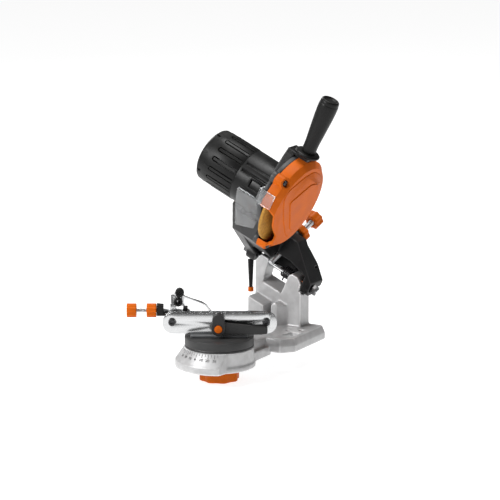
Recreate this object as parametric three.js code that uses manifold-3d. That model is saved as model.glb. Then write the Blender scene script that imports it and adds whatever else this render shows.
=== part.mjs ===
// Electric chainsaw sharpener: a bench-mounted cast base, a turning chain vice and a sprung
// head that swings a thin grinding wheel down onto the chain. Millimetres, +Z up, +Y towards
// the hinge column. The origin is the centre of the base plate's underside, on the bench.
import * as THREE from "three";
import { mergeVertices } from "three/addons/utils/BufferGeometryUtils.js";
import Module from "manifold-3d";

const wasm = await Module();
wasm.setup();

// General
const DEG = Math.PI / 180;
const GAP = 0.3; // clearance between pieces that touch
const RUNNING_GAP = 0.35; // radial clearance round shafts and screws that turn or slide

// Base casting
const SPINDLE_TO_BENCH_CENTRE = 120; // from the turntable axis back to the origin
const PLATE_HALF_WIDTH = 70;
const PLATE_FRONT = 66; // distances behind the turntable axis
const PLATE_BACK = 171;
const PLATE_CORNER = 15;
const PLATE_HEIGHT = 19;
const PLATE_FACET_INSET = 3.8;
const PLATE_FACET_HEIGHT = 9.7;
const PLATE_WALL = 6;
const WINDOW_FROM_SIDE = 10;
const WINDOW_FROM_FRONT = 24;
const WINDOW_WIDTH = 18;
const WINDOW_LENGTH = 24;
const DECK_THICKNESS = 5;
const RIB_WIDTH = 10;
const BENCH_HOLE_RADIUS = 3.2;
const BENCH_HOLE_INNER_X = 37.7;
const BENCH_HOLE_INNER_Y = 118.7;
const BENCH_HOLE_OUTER_X = 53.5;
const BENCH_HOLE_OUTER_Y = 128;
const BENCH_BOSS_RADIUS = 8;
const NECK_HALF_WIDTH = 38;
const NECK_STEP = 7;
const NECK_BOTTOM = -5;
const NECK_LEDGE_HEIGHT = 8;
const BOSS_BOTTOM = -8;
const BOSS_RADIUS = 46.5;
const BOSS_RIM_RADIUS = 48.3;
const BOSS_RIM_TOP = 0;
const SCALE_TOP_RADIUS = 46.5;
const SCALE_RIM_RADIUS = 59;
const SCALE_RIM_TOP = 3;
const SCALE_START = -184; // degrees round the dial
const SCALE_END = -60;
const SCALE_END_SLANT = 14;
const BOSS_POCKET_INNER = 13;
const BOSS_POCKET_OUTER = 40;
const BOSS_POCKET_TOP = 12;

// Hinge column
const HEAD_TILT = 25 * DEG; // lean of the hinge, motor and wheel axis
const HINGE_X = 11.2;
const HINGE_Y = 150.8;
const HINGE_HEIGHT = 93.8;
const COLUMN_FRONT = 140;
const COLUMN_BACK = 165;
const COLUMN_LEFT = -26;
const COLUMN_RIGHT = 45;
const EAR_TOP = 7; // above the hinge axis
const LEFT_EAR_INNER_TOP = -20.6;
const LEFT_EAR_CHAMFER = 9;
const SLOT_FLOOR = -26.5;
const SLOT_FLOOR_RISE = 5.6;
const RIGHT_EAR_INNER = 16;
const RIGHT_EAR_ROUND = 9;
const SLOT_GROOVE_WIDTH = 3.4;
const SLOT_GROOVE_DEPTH = 5.6;
const COLUMN_POCKET_WALL = 6;
const COLUMN_POCKET_TOP = 52;
const LEFT_STOP_LEFT = -24;
const LEFT_STOP_RIGHT = 0;
const LEFT_STOP_FRONT = 116;
const LEFT_STOP_TOP = 61;
const RIGHT_STOP_LEFT = 7;
const RIGHT_STOP_RIDGE = 12;
const RIGHT_STOP_RIGHT = 24;
const RIGHT_STOP_FRONT = 125;
const RIGHT_STOP_TOP = 52.6;

// Hinge rod and swing arm
const ROD_RADIUS = 4;
const ROD_LEFT = -61;
const ROD_RIGHT = 60.5;
const ROD_NUT_WIDTH = 13;
const ROD_NUT_HEIGHT = 6.5;
const ARM_LEG_WIDTH = 13.5; // along the hinge
const ARM_LEG_LEFT = -42.2; // inner faces
const ARM_LEG_RIGHT = 38.2;
const ARM_LEG_ROUND = 11;
const ARM_FRONT = -11;
const ARM_BACK = 13;
const ARM_ARCH_LOW = 14.5;
const ARM_ARCH_HIGH = 22;
const ARM_SHOULDER = 52;
const ARM_WEB_LEFT = -59;
const ARM_WALL_BEHIND = 6.5; // the back wall, behind the legs
const ARM_WALL = 4;
const ARM_WALL_LOW = -0.5; // at the legs
const ARM_WALL_LOWEST = -9; // between them, behind the rod
const SPRING_WIRE_RADIUS = 1.1;
const SPRING_COIL_RADIUS = 7.2;
const SPRING_PITCH = 2.75;
const SPRING_TURNS = 4;
const SPRING_START = 3.2;

// Wheel, its guard and motor. The wheel centre is given from the hinge axis.
const WHEEL_BEHIND = -85.5;
const WHEEL_ABOVE = 128.5;
const WHEEL_RADIUS = 59.5;
const WHEEL_THICKNESS = 4.8;
const FLANGE_RADIUS = 17;
const FLANGE_THICKNESS = 3;
const SHAFT_RADIUS = 5;
const COVER_CLEARANCE = 5.5; // from the wheel's rim to the outside of its cover
const COVER_RADIUS = WHEEL_RADIUS + COVER_CLEARANCE;
const COVER_WALL = 2.6;
const COVER_BACK = -5.5;
const COVER_FACE = 16;
const COVER_CHAMFER = 7;
const COVER_EAR_RADIUS = 8.5;
const COVER_EAR_INSET = 2.5; // centres of the ears inside the cover's rim
const COVER_SCREW_CIRCLE = COVER_RADIUS - COVER_EAR_INSET;
const COVER_OPEN_FROM = 176; // degrees round the shaft, where the wheel stands clear
const COVER_OPEN_TO = 244;
const COVER_EDGE_START = 10.7; // how far the open edge draws in from the rim
const COVER_EDGE_STEP = 3.4;
const COVER_EDGE_MOST = 17.5;
const COVER_SCREW_SEAT = 6.6;
const COVER_SCREW_ANGLES = [140, 20, -107];
const BACKPLATE_THICKNESS = 6;
const HOUSING_RADIUS = 37.5;
const HOUSING_WALL = 3;
const HOUSING_FRONT = -12.4;
const HOUSING_SEAM = -66.5;
const HOUSING_REAR = -128;
const HOUSING_REAR_CHAMFER = 9;
const HOUSING_GROOVES = [135, 151]; // degrees round the motor axis
const HOUSING_GROOVE_RADIUS = 2.2;
const VENT_COUNT = 16;
const VENT_START = 5.5 * DEG;
const VENT_WIDTH = 2.6;
const VENT_LENGTH = 38;
const VENT_FROM_SEAM = 3;

// Motor inside
const STATOR_CLEARANCE = 1.5; // inside the housing's wall
const STATOR_RADIUS = HOUSING_RADIUS - HOUSING_WALL - STATOR_CLEARANCE;
const STATOR_YOKE = 5;
const ARMATURE_RADIUS = STATOR_RADIUS * 0.53; // the winding fills the rest
const ARMATURE_FRONT = -68;
const ARMATURE_LENGTH = 32;
const AIR_GAP = 1;
const POLE_ARC = 100;
const COIL_LENGTH = 5;
const FAN_CLEARANCE = 3.5; // inside the housing's wall
const FAN_RADIUS = HOUSING_RADIUS - HOUSING_WALL - FAN_CLEARANCE;
const FAN_BLADES = 9;
const FAN_FRONT = -50;
const FAN_HEIGHT = 9;
const COMMUTATOR_RADIUS = 10;
const COMMUTATOR_FRONT = -104;
const COMMUTATOR_LENGTH = 10;
const BEARING_RADIUS = 11;
const BEARING_WIDTH = 7;
const FRONT_BEARING = -20;
const REAR_BEARING = -124;

// Handle
const GRIP_ABOVE_COVER = 11;
const GRIP_LENGTH = 79;
const GRIP_BASE = COVER_RADIUS + GRIP_ABOVE_COVER; // above the wheel centre
const GRIP_TOP = GRIP_BASE + GRIP_LENGTH;
const COLLAR_RADIUS = 17;
const NECK_STUB_RADIUS = 11;

// Depth stop screw, seen along the hinge: where its tip is, and how it leans
const DEPTH_ACROSS = -12;
const DEPTH_TIP_BEHIND = -20;
const DEPTH_TIP_ABOVE = 8.4;
const DEPTH_LEAN = 32 * DEG;
const DEPTH_SCREW_RADIUS = 3.9;
const DEPTH_SCREW_LENGTH = 96;
const DEPTH_LUG_START = 30;
const DEPTH_LUG_END = 62;
const DEPTH_LUG_RADIUS = 9;
const LOCK_KNOB_RADIUS = 13.4;
const LOCK_KNOB_THICKNESS = 10;
const DEPTH_KNOB_RADIUS = 12;
const DEPTH_KNOB_THICKNESS = 13.5;

// Visor
const VISOR_CLEARANCE = 7.5; // in front of the motor housing
const VISOR_FRONT = -HOUSING_RADIUS - VISOR_CLEARANCE;
const VISOR_SHEET = 2;
const VISOR_LEAN = 21 * DEG; // lower edge towards the back
const VISOR_LEFT = -53.5;
const VISOR_TOP = -3;
const VISOR_LOW_LEFT = -45;
const VISOR_LEFT_DROP = 60;
const VISOR_LOW_RIGHT = -16.8;
const VISOR_RIGHT_DROP = 48;
const VISOR_SHELF = 3.4;
const VISOR_HOOD_FRONT = -COVER_RADIUS - 2.5;
const VISOR_HOOD_LOW = 5;
const VISOR_HOOD_HIGH = 25;
const VISOR_HOOD_RIGHT = 10;

// Power switch, on the front of the motor housing
const SWITCH_AROUND = 165; // degrees round the motor axis
const SWITCH_CENTRE = -33;
const SWITCH_LENGTH = 26;
const SWITCH_WIDTH = 15;
const SWITCH_RAISE = 3.2;
const SWITCH_BODY_LENGTH = 22;
const SWITCH_BODY_WIDTH = 16;
const ROCKER_LENGTH = 15;
const ROCKER_WIDTH = 10;
const ROCKER_ROOM = 1.8;

// Lead protector under the left arm leg
const LEAD_TOP_RADIUS = 4.2;
const LEAD_TIP_RADIUS = 2.2;
const LEAD_LENGTH = 45;
const LEAD_COLLAR_RADIUS = 3.8;
const LEAD_COLLAR_LENGTH = 6;

// Turntable and chain vice
const VICE_TURN = 30 * DEG; // as set in the rest pose
const DISC_RADIUS = 46;
const DISC_THICKNESS = 13.3;
const PIVOT_RADIUS = 6;
const PIVOT_HEAD_RADIUS = 10;
const PIVOT_HEAD_HEIGHT = 3.3;
const FOOT_HALF_LENGTH = 38;
const FOOT_BACK = 24;
const FOOT_FRONT = 14;
const FOOT_HEIGHT = 3.3;
const JAW_ABOVE_FOOT = 0.4;
const JAW_HEIGHT = 28.4;
const JAW_BOTTOM = PLATE_HEIGHT + 2 * GAP + DISC_THICKNESS + FOOT_HEIGHT + JAW_ABOVE_FOOT;
const JAW_TOP = JAW_BOTTOM + JAW_HEIGHT;
const JAW_LEFT = -75;
const JAW_RIGHT = 76.5;
const JAW_THICKNESS = 4;
const JAW_GAP = 4.6; // open, as for loading a chain
const JAW_TRAVEL = 2.8;
const GUIDE_BOLT_AT = 62.6;
const GUIDE_BOLT_HEIGHT = JAW_BOTTOM + 16;
const GUIDE_BOLT_RADIUS = 2.5;
const GUIDE_HEAD_RADIUS = 4.6;
const CLAMP_AT = -1;
const CLAMP_RADIUS = 3.5;
const UPRIGHT_THICKNESS = 7;
const UPRIGHT_TOP = JAW_TOP - 5;
const LEVER_HUB_RADIUS = 9.3;
const LEVER_CLEARANCE = 0.1; // the hub over the jaw's lower edge
const CLAMP_HEIGHT = JAW_BOTTOM + LEVER_HUB_RADIUS + LEVER_CLEARANCE;
const LEVER_HUB_RISE = 12;
const LEVER_LENGTH = 65;
const LEVER_THICKNESS = 14;
const LEVER_CAP_RADIUS = 5.2;

// Chain stop at the vice's left end
const STOP_SCREW_BEHIND = 12.5;
const STOP_SCREW_HEIGHT = JAW_TOP - 1;
const STOP_SCREW_RADIUS = 2.5;
const STOP_HOLDER_LEFT = -83;
const STOP_HOLDER_RIGHT = -42;
const STOP_TAB_THICKNESS = 3;
const STOP_KNOB_RADIUS = 9.5;
const STOP_KNOB_LENGTH = 13;
const STOP_KNOB_LEFT = -123;
const STOP_LOCK_LEFT = -96.5;
const STOP_LOCK_LENGTH = 13;
const CARRIAGE_LEFT = -65;
const CARRIAGE_NUT_LENGTH = 8;
const CARRIAGE_NUT_ABOVE = 8; // over the screw's axis
const CARRIAGE_PLATE_LENGTH = 18;
const CARRIAGE_PLATE_THICKNESS = 2.5;
const PAWL_PIVOT_AT = CARRIAGE_LEFT + 11;
const PAWL_PIVOT_HEIGHT = STOP_SCREW_HEIGHT + 17;
const PAWL_PIN_RADIUS = 2.5;
const PAWL_FRONT = -4.6;
const PAWL_THICKNESS = 4;
const PAWL_KNOB_AT = PAWL_PIVOT_AT + 2;
const PAWL_KNOB_HEIGHT = PAWL_PIVOT_HEIGHT + 12.5;
const PAWL_KNOB_RADIUS = 6.1;
const PAWL_KNOB_LENGTH = 9.1;

// Turntable clamp knob
const TURN_KNOB_RADIUS = 27;
const WASHER_THICKNESS = 1.4;
const TURN_KNOB_TOP = BOSS_BOTTOM - 2 * GAP - WASHER_THICKNESS;
const TURN_KNOB_HEIGHT = 17;
const TURN_KNOB_LOBES = 8;

const DIAL_ROUND = 60; // sides of the dial and the wheel
const ROUND = 36; // sides of a large round
const SMALL_ROUND = 20; // sides of a small round

// Solids and geometry

function solidOf(geometry) {
  const bare = new THREE.BufferGeometry();
  bare.setAttribute("position", geometry.getAttribute("position"));
  if (geometry.index) bare.setIndex(geometry.index);
  const merged = mergeVertices(bare, 1e-4);
  const vertProperties = new Float32Array(merged.getAttribute("position").array);
  const triVerts = new Uint32Array(merged.index.array);
  const solid = new wasm.Manifold(new wasm.Mesh({ numProp: 3, vertProperties, triVerts }));
  if (solid.volume() >= 0) return solid;
  for (let i = 0; i < triVerts.length; i += 3) {
    const second = triVerts[i + 1];
    triVerts[i + 1] = triVerts[i + 2];
    triVerts[i + 2] = second;
  }
  return new wasm.Manifold(new wasm.Mesh({ numProp: 3, vertProperties, triVerts }));
}

function geometryOf(solid) {
  const mesh = solid.getMesh();
  const positions = new Float32Array(mesh.numVert * 3);
  for (let i = 0; i < mesh.numVert; i++) {
    const start = i * mesh.numProp;
    positions.set(mesh.vertProperties.subarray(start, start + 3), i * 3);
  }
  const geometry = new THREE.BufferGeometry();
  geometry.setAttribute("position", new THREE.BufferAttribute(positions, 3));
  geometry.setIndex(new THREE.BufferAttribute(new Uint32Array(mesh.triVerts), 1));
  return geometry;
}

function join(first, ...others) {
  let solid = solidOf(first);
  for (const other of others) solid = solid.add(solidOf(other));
  return geometryOf(solid);
}

function cut(body, ...tools) {
  let solid = solidOf(body);
  for (const tool of tools) solid = solid.subtract(solidOf(tool));
  return geometryOf(solid);
}

function shared(first, second) {
  return geometryOf(solidOf(first).intersect(solidOf(second)));
}

// Basic forms

function block(x0, x1, y0, y1, z0, z1) {
  const geometry = new THREE.BoxGeometry(x1 - x0, y1 - y0, z1 - z0);
  return geometry.translate((x0 + x1) / 2, (y0 + y1) / 2, (z0 + z1) / 2);
}

// A round post along Z.
function post(radius, bottom, top, sides = SMALL_ROUND) {
  const geometry = new THREE.CylinderGeometry(radius, radius, top - bottom, sides);
  return geometry.rotateX(Math.PI / 2).translate(0, 0, (bottom + top) / 2);
}

// A round post along X, at y and z.
function postAlongX(radius, x0, x1, y = 0, z = 0, sides = SMALL_ROUND) {
  return post(radius, x0, x1, sides).rotateY(Math.PI / 2).translate(0, y, z);
}

// A round post along Y, at x and z.
function postAlongY(radius, y0, y1, x = 0, z = 0, sides = SMALL_ROUND) {
  return post(radius, -y1, -y0, sides).rotateX(Math.PI / 2).translate(x, 0, z);
}

// A profile of [radius, height] pairs, turned round Z.
function turned(profile, sides = ROUND) {
  const points = profile.map(([radius, height]) => new THREE.Vector2(radius, height));
  if (THREE.ShapeUtils.area(points) < 0) points.reverse();
  return new THREE.LatheGeometry(points, sides).rotateX(Math.PI / 2);
}

// The same, turned round X, with heights measured along X.
function turnedAlongX(profile, sides = ROUND) {
  return turned(profile, sides).rotateY(Math.PI / 2);
}

function shapeOf(points) {
  return new THREE.Shape(points.map(([x, y]) => new THREE.Vector2(x, y)));
}

// An outline in plan, raised from bottom to top.
function slab(points, bottom, top) {
  const options = { depth: top - bottom, bevelEnabled: false };
  return new THREE.ExtrudeGeometry(shapeOf(points), options).translate(0, 0, bottom);
}

// An outline in X and Z, carried along Y.
function wallAlongY(points, y0, y1) {
  return slab(points, 0, y1 - y0).rotateX(Math.PI / 2).translate(0, y1, 0);
}

// An outline in Y and Z, carried along X.
function wallAlongX(points, x0, x1) {
  const turn = new THREE.Matrix4().makeBasis(
    new THREE.Vector3(0, 1, 0),
    new THREE.Vector3(0, 0, 1),
    new THREE.Vector3(1, 0, 0),
  );
  return slab(points, x0, x1).applyMatrix4(turn);
}

// Points on an arc, angles in degrees.
function arc(x, y, radius, from, to, steps) {
  const points = [];
  for (let i = 0; i <= steps; i++) {
    const angle = (from + ((to - from) * i) / steps) * DEG;
    points.push([x + radius * Math.cos(angle), y + radius * Math.sin(angle)]);
  }
  return points;
}

// An outline moved inwards by a distance, for outlines drawn anticlockwise.
function inset(points, distance) {
  return points.map((point, i) => {
    const before = points[(i + points.length - 1) % points.length];
    const after = points[(i + 1) % points.length];
    const into = new THREE.Vector2(point[0] - before[0], point[1] - before[1]).normalize();
    const out = new THREE.Vector2(after[0] - point[0], after[1] - point[1]).normalize();
    const bisector = new THREE.Vector2(-into.y - out.y, into.x + out.x);
    const scale = (2 * distance) / bisector.lengthSq();
    return [point[0] + bisector.x * scale, point[1] + bisector.y * scale];
  });
}

// A closed solid through rings of equal count, each [points, height], capped at both ends.
function loft(rings) {
  const count = rings[0][0].length;
  const positions = [];
  for (const [points, height] of rings) {
    for (const [x, y] of points) positions.push(x, y, height);
  }
  const index = [];
  for (let ring = 0; ring < rings.length - 1; ring++) {
    for (let i = 0; i < count; i++) {
      const a = ring * count + i;
      const b = ring * count + ((i + 1) % count);
      index.push(a, b, b + count, a, b + count, a + count);
    }
  }
  const flat = (points) => points.map(([x, y]) => new THREE.Vector2(x, y));
  const last = (rings.length - 1) * count;
  for (const [a, b, c] of THREE.ShapeUtils.triangulateShape(flat(rings[0][0]), [])) {
    index.push(a, c, b);
  }
  for (const [a, b, c] of THREE.ShapeUtils.triangulateShape(flat(rings.at(-1)[0]), [])) {
    index.push(last + a, last + b, last + c);
  }
  const geometry = new THREE.BufferGeometry();
  geometry.setAttribute("position", new THREE.Float32BufferAttribute(positions, 3));
  geometry.setIndex(index);
  return geometry;
}

// A lobed knob outline.
function lobed(radius, lobes, depth, steps) {
  const points = [];
  const count = lobes * steps;
  for (let i = 0; i < count; i++) {
    const angle = (i / count) * 2 * Math.PI;
    const r = radius - (depth * (1 - Math.cos(lobes * angle))) / 2;
    points.push([r * Math.cos(angle), r * Math.sin(angle)]);
  }
  return points;
}

function scaled(points, factor) {
  return points.map(([x, y]) => [x * factor, y * factor]);
}

// A knurled knob along Z with chamfered ends and a bore.
function knob(radius, height, lobes, depth, bore) {
  const edge = lobed(radius, lobes, depth, 4);
  const chamfer = 0.9;
  const drawn = scaled(edge, 1 - chamfer / radius);
  const body = loft([
    [drawn, 0],
    [edge, chamfer],
    [edge, height - chamfer],
    [drawn, height],
  ]);
  return cut(body, post(bore, -1, height + 1));
}

function hexagon(width) {
  return arc(0, 0, width / 2 / Math.cos(30 * DEG), 0, 300, 5);
}

// Hinge frame: X along the tilted hinge axis, Y back, Z square to both.
const hingeMatrix = new THREE.Matrix4()
  .makeTranslation(HINGE_X, HINGE_Y, HINGE_HEIGHT)
  .multiply(new THREE.Matrix4().makeRotationY(HEAD_TILT));

function atHinge(across, above) {
  const point = new THREE.Vector3(across, 0, above).applyMatrix4(hingeMatrix);
  return [point.x, point.z];
}

// Base casting

function plateOutline() {
  const side = PLATE_HALF_WIDTH;
  const c = PLATE_CORNER;
  return [
    [-side + c, PLATE_FRONT],
    [side - c, PLATE_FRONT],
    [side, PLATE_FRONT + c * 1.15],
    [side, PLATE_BACK - c / 3],
    [side - c / 3, PLATE_BACK],
    [-side + c / 3, PLATE_BACK],
    [-side, PLATE_BACK - c / 3],
    [-side, PLATE_FRONT + c * 1.15],
  ];
}

function dialBoss() {
  const narrow = turned([
    [0, BOSS_BOTTOM],
    [BOSS_RIM_RADIUS, BOSS_BOTTOM],
    [BOSS_RIM_RADIUS, BOSS_RIM_TOP - 1.5],
    [BOSS_RADIUS, BOSS_RIM_TOP],
    [BOSS_RADIUS, PLATE_HEIGHT],
    [0, PLATE_HEIGHT],
  ], DIAL_ROUND * 0.8);
  const wide = turned([
    [0, BOSS_BOTTOM],
    [SCALE_RIM_RADIUS - 1, BOSS_BOTTOM],
    [SCALE_RIM_RADIUS, BOSS_BOTTOM + 1],
    [SCALE_RIM_RADIUS, SCALE_RIM_TOP - 1],
    [SCALE_RIM_RADIUS - 1.2, SCALE_RIM_TOP],
    [SCALE_TOP_RADIUS, PLATE_HEIGHT],
    [0, PLATE_HEIGHT],
  ], DIAL_ROUND);
  const reach = SCALE_RIM_RADIUS * 1.4;
  const slantedEnd = arc(0, 0, BOSS_RADIUS, SCALE_END + SCALE_END_SLANT, SCALE_END, 1)[0];
  const rimEnd = arc(0, 0, SCALE_RIM_RADIUS, SCALE_END, SCALE_END + 1, 1)[0];
  const beyond = [
    rimEnd[0] + (rimEnd[0] - slantedEnd[0]),
    rimEnd[1] + (rimEnd[1] - slantedEnd[1]),
  ];
  const sector = slab(
    [[0, 0], ...arc(0, 0, reach, SCALE_START, SCALE_END - 12, 8), beyond, slantedEnd],
    BOSS_BOTTOM - 1,
    PLATE_HEIGHT + 1,
  );
  return join(narrow, shared(wide, sector));
}

function neck() {
  const w = NECK_HALF_WIDTH;
  const top = PLATE_HEIGHT;
  const inner = w - NECK_STEP;
  const half = [
    [w, NECK_BOTTOM],
    [w, NECK_LEDGE_HEIGHT - 1],
    [w - 1, NECK_LEDGE_HEIGHT],
    [inner + 1, NECK_LEDGE_HEIGHT],
    [inner, top - 1],
    [inner - 1, top],
  ];
  const mirrored = half.map(([x, z]) => [-x, z]).reverse();
  return wallAlongY([...half, ...mirrored], 20, PLATE_FRONT + PLATE_WALL);
}

function columnOutline() {
  const leftOuterTop = atHinge(LEFT_EAR_INNER_TOP - 12.5, EAR_TOP);
  const leftInnerTop = atHinge(LEFT_EAR_INNER_TOP, EAR_TOP);
  const backFloor = SLOT_FLOOR + SLOT_FLOOR_RISE;
  const floorLeft = atHinge(-16.5, backFloor);
  const grooveLeft = atHinge(RIGHT_EAR_INNER - SLOT_GROOVE_WIDTH, backFloor);
  const grooveLow = atHinge(RIGHT_EAR_INNER - 0.6, SLOT_FLOOR - SLOT_GROOVE_DEPTH);
  const grooveHigh = atHinge(RIGHT_EAR_INNER, SLOT_FLOOR - SLOT_GROOVE_DEPTH + 2);
  const rightInnerTop = atHinge(RIGHT_EAR_INNER + 3, EAR_TOP);
  const rightInnerCorner = atHinge(RIGHT_EAR_INNER, EAR_TOP - 4);
  const round = RIGHT_EAR_ROUND;
  const roundTop = atHinge(33 - round / 2, EAR_TOP);
  return [
    [COLUMN_LEFT, PLATE_HEIGHT - 1],
    [COLUMN_RIGHT, PLATE_HEIGHT - 1],
    [COLUMN_RIGHT, roundTop[1] - round],
    [COLUMN_RIGHT - round * 0.3, roundTop[1] - round * 0.35],
    roundTop,
    rightInnerTop,
    rightInnerCorner,
    grooveHigh,
    grooveLow,
    grooveLeft,
    floorLeft,
    leftInnerTop,
    leftOuterTop,
    [COLUMN_LEFT, leftOuterTop[1] - LEFT_EAR_CHAMFER],
  ];
}

function hingeColumn() {
  const body = wallAlongY(columnOutline(), COLUMN_FRONT, COLUMN_BACK);
  const slotFront = COLUMN_FRONT - HINGE_Y - 1;
  const slotBack = COLUMN_BACK - HINGE_Y + 0.5;
  const floor = wallAlongX(
    [
      [slotFront, SLOT_FLOOR],
      [slotBack, SLOT_FLOOR + SLOT_FLOOR_RISE],
      [slotBack, 0],
      [slotFront, 0],
    ],
    LEFT_EAR_INNER_TOP + 5,
    RIGHT_EAR_INNER,
  ).applyMatrix4(hingeMatrix);
  const faceGap = GAP;
  const rightFace = postAlongX(14, ARM_LEG_RIGHT - faceGap, 80).applyMatrix4(hingeMatrix);
  const leftFace = postAlongX(14, -90, ARM_LEG_LEFT + faceGap).applyMatrix4(hingeMatrix);
  const rodHole = postAlongX(ROD_RADIUS + GAP / 2, -90, 90).applyMatrix4(hingeMatrix);
  const middle = (COLUMN_LEFT + COLUMN_RIGHT) / 2;
  const wall = COLUMN_POCKET_WALL;
  const pocketFront = COLUMN_FRONT + wall;
  const pockets = [
    [COLUMN_LEFT + wall, middle - wall / 2],
    [middle + wall / 2, COLUMN_RIGHT - wall],
  ].map(([x0, x1]) =>
    block(x0, x1, pocketFront, COLUMN_BACK + 1, PLATE_HEIGHT, COLUMN_POCKET_TOP),
  );
  return cut(body, floor, rightFace, leftFace, rodHole, ...pockets);
}

function stopBlocks() {
  const slope = Math.tan(HEAD_TILT);
  const leftLow = LEFT_STOP_TOP - (LEFT_STOP_RIGHT - LEFT_STOP_LEFT) * slope;
  const left = wallAlongY(
    [
      [LEFT_STOP_LEFT, PLATE_HEIGHT - 1],
      [LEFT_STOP_RIGHT, PLATE_HEIGHT - 1],
      [LEFT_STOP_RIGHT, leftLow],
      [LEFT_STOP_LEFT + 1.5, LEFT_STOP_TOP - 0.7],
      [LEFT_STOP_LEFT, LEFT_STOP_TOP - 2],
    ],
    LEFT_STOP_FRONT,
    COLUMN_FRONT + 1,
  );
  const rightLow = RIGHT_STOP_TOP - (RIGHT_STOP_RIGHT - RIGHT_STOP_RIDGE) * slope;
  const right = wallAlongY(
    [
      [RIGHT_STOP_LEFT, PLATE_HEIGHT - 1],
      [RIGHT_STOP_RIGHT, PLATE_HEIGHT - 1],
      [RIGHT_STOP_RIGHT, rightLow],
      [RIGHT_STOP_RIDGE, RIGHT_STOP_TOP],
      [RIGHT_STOP_LEFT, RIGHT_STOP_TOP - 5],
    ],
    RIGHT_STOP_FRONT,
    COLUMN_FRONT + 1,
  );
  const chamfer = slab(
    [
      [RIGHT_STOP_RIGHT + 1, RIGHT_STOP_FRONT - 1],
      [RIGHT_STOP_RIGHT + 1, COLUMN_FRONT],
      [RIGHT_STOP_RIGHT - 9, RIGHT_STOP_FRONT - 1],
    ],
    PLATE_HEIGHT,
    RIGHT_STOP_TOP + 1,
  );
  return [left, cut(right, chamfer)];
}

function benchHoles() {
  const holes = [];
  for (const side of [-1, 1]) {
    holes.push([side * BENCH_HOLE_INNER_X, BENCH_HOLE_INNER_Y]);
    holes.push([side * BENCH_HOLE_OUTER_X, BENCH_HOLE_OUTER_Y]);
  }
  return holes;
}

function baseCasting() {
  const outline = plateOutline();
  const top = inset(outline, PLATE_FACET_INSET);
  const plate = loft([
    [outline, 0],
    [outline, PLATE_HEIGHT - PLATE_FACET_HEIGHT],
    [top, PLATE_HEIGHT],
  ]);
  const under = PLATE_HEIGHT - DECK_THICKNESS;
  const pocket = slab(inset(outline, PLATE_WALL), -1, under);
  const rib = RIB_WIDTH / 2;
  const benchCentre = SPINDLE_TO_BENCH_CENTRE;
  const ribs = [
    block(-rib, rib, PLATE_FRONT + 1, PLATE_BACK - 1, 0, under + 1),
    block(-PLATE_HALF_WIDTH + 2, 26, benchCentre - rib, benchCentre + rib, 0, under + 1),
  ];
  const bosses = benchHoles().map(([x, y]) =>
    post(BENCH_BOSS_RADIUS, 0, under + 1).translate(x, y, 0),
  );
  const holes = benchHoles().map(([x, y]) =>
    post(BENCH_HOLE_RADIUS, -1, PLATE_HEIGHT + 1).translate(x, y, 0),
  );
  const windowRight = PLATE_HALF_WIDTH - WINDOW_FROM_SIDE;
  const windowFront = PLATE_FRONT + WINDOW_FROM_FRONT;
  const windowBack = windowFront + WINDOW_LENGTH;
  const window = slab(
    [
      [windowRight - WINDOW_WIDTH, windowFront],
      [windowRight - 4, windowFront + 4],
      [windowRight, windowFront + 10],
      [windowRight, windowBack],
      [windowRight - 13, windowBack - 2],
    ],
    -1,
    PLATE_HEIGHT + 1,
  );
  const backArch = block(-44, 44, PLATE_BACK - PLATE_WALL - 1, PLATE_BACK + 1, -1, 9);
  const shell = cut(plate, pocket);
  const body = join(
    shell,
    ...ribs,
    ...bosses,
    neck(),
    dialBoss(),
    hingeColumn(),
    ...stopBlocks(),
  );
  const bossPocket = turned([
    [BOSS_POCKET_INNER, BOSS_BOTTOM - 1],
    [BOSS_POCKET_OUTER, BOSS_BOTTOM - 1],
    [BOSS_POCKET_OUTER - 2, BOSS_POCKET_TOP],
    [BOSS_POCKET_INNER, BOSS_POCKET_TOP],
    [BOSS_POCKET_INNER, BOSS_BOTTOM - 1],
  ]);
  const pivotHole = post(PIVOT_RADIUS + RUNNING_GAP, BOSS_BOTTOM - 2, PLATE_HEIGHT + 2);
  return cut(body, ...holes, window, backArch, bossPocket, pivotHole);
}

// Hinge pieces

function rodNut() {
  const nut = slab(hexagon(ROD_NUT_WIDTH), 0, ROD_NUT_HEIGHT).rotateY(Math.PI / 2);
  return cut(nut, postAlongX(ROD_RADIUS + GAP / 2, -1, ROD_NUT_HEIGHT + 1));
}

// One unbroken tube: the turns round the rod, then a leg down to the slot floor and a leg
// up against the arm.
function returnSpring() {
  const steps = 8;
  const section = 5;
  const path = [];
  const radius = SPRING_COIL_RADIUS;
  const floorLeg = 17;
  path.push(new THREE.Vector3(SPRING_START, radius, -floorLeg));
  path.push(new THREE.Vector3(SPRING_START, radius, -floorLeg / 2));
  for (let i = 0; i <= SPRING_TURNS * steps; i++) {
    const angle = (i / steps) * 2 * Math.PI;
    const along = SPRING_START + (i / steps) * SPRING_PITCH;
    path.push(new THREE.Vector3(along, radius * Math.cos(angle), radius * Math.sin(angle)));
  }
  const end = SPRING_START + SPRING_TURNS * SPRING_PITCH;
  path.push(new THREE.Vector3(end, radius, 9));
  path.push(new THREE.Vector3(end, radius, 18));
  let least = Infinity;
  for (let i = 0; i < path.length; i++) {
    for (let j = i + steps / 2; j < path.length; j++) {
      least = Math.min(least, path[i].distanceTo(path[j]));
    }
  }
  console.log("return spring: least gap to itself", (least - 2 * SPRING_WIRE_RADIUS).toFixed(2));
  return tube(path, SPRING_WIRE_RADIUS, section);
}

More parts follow.
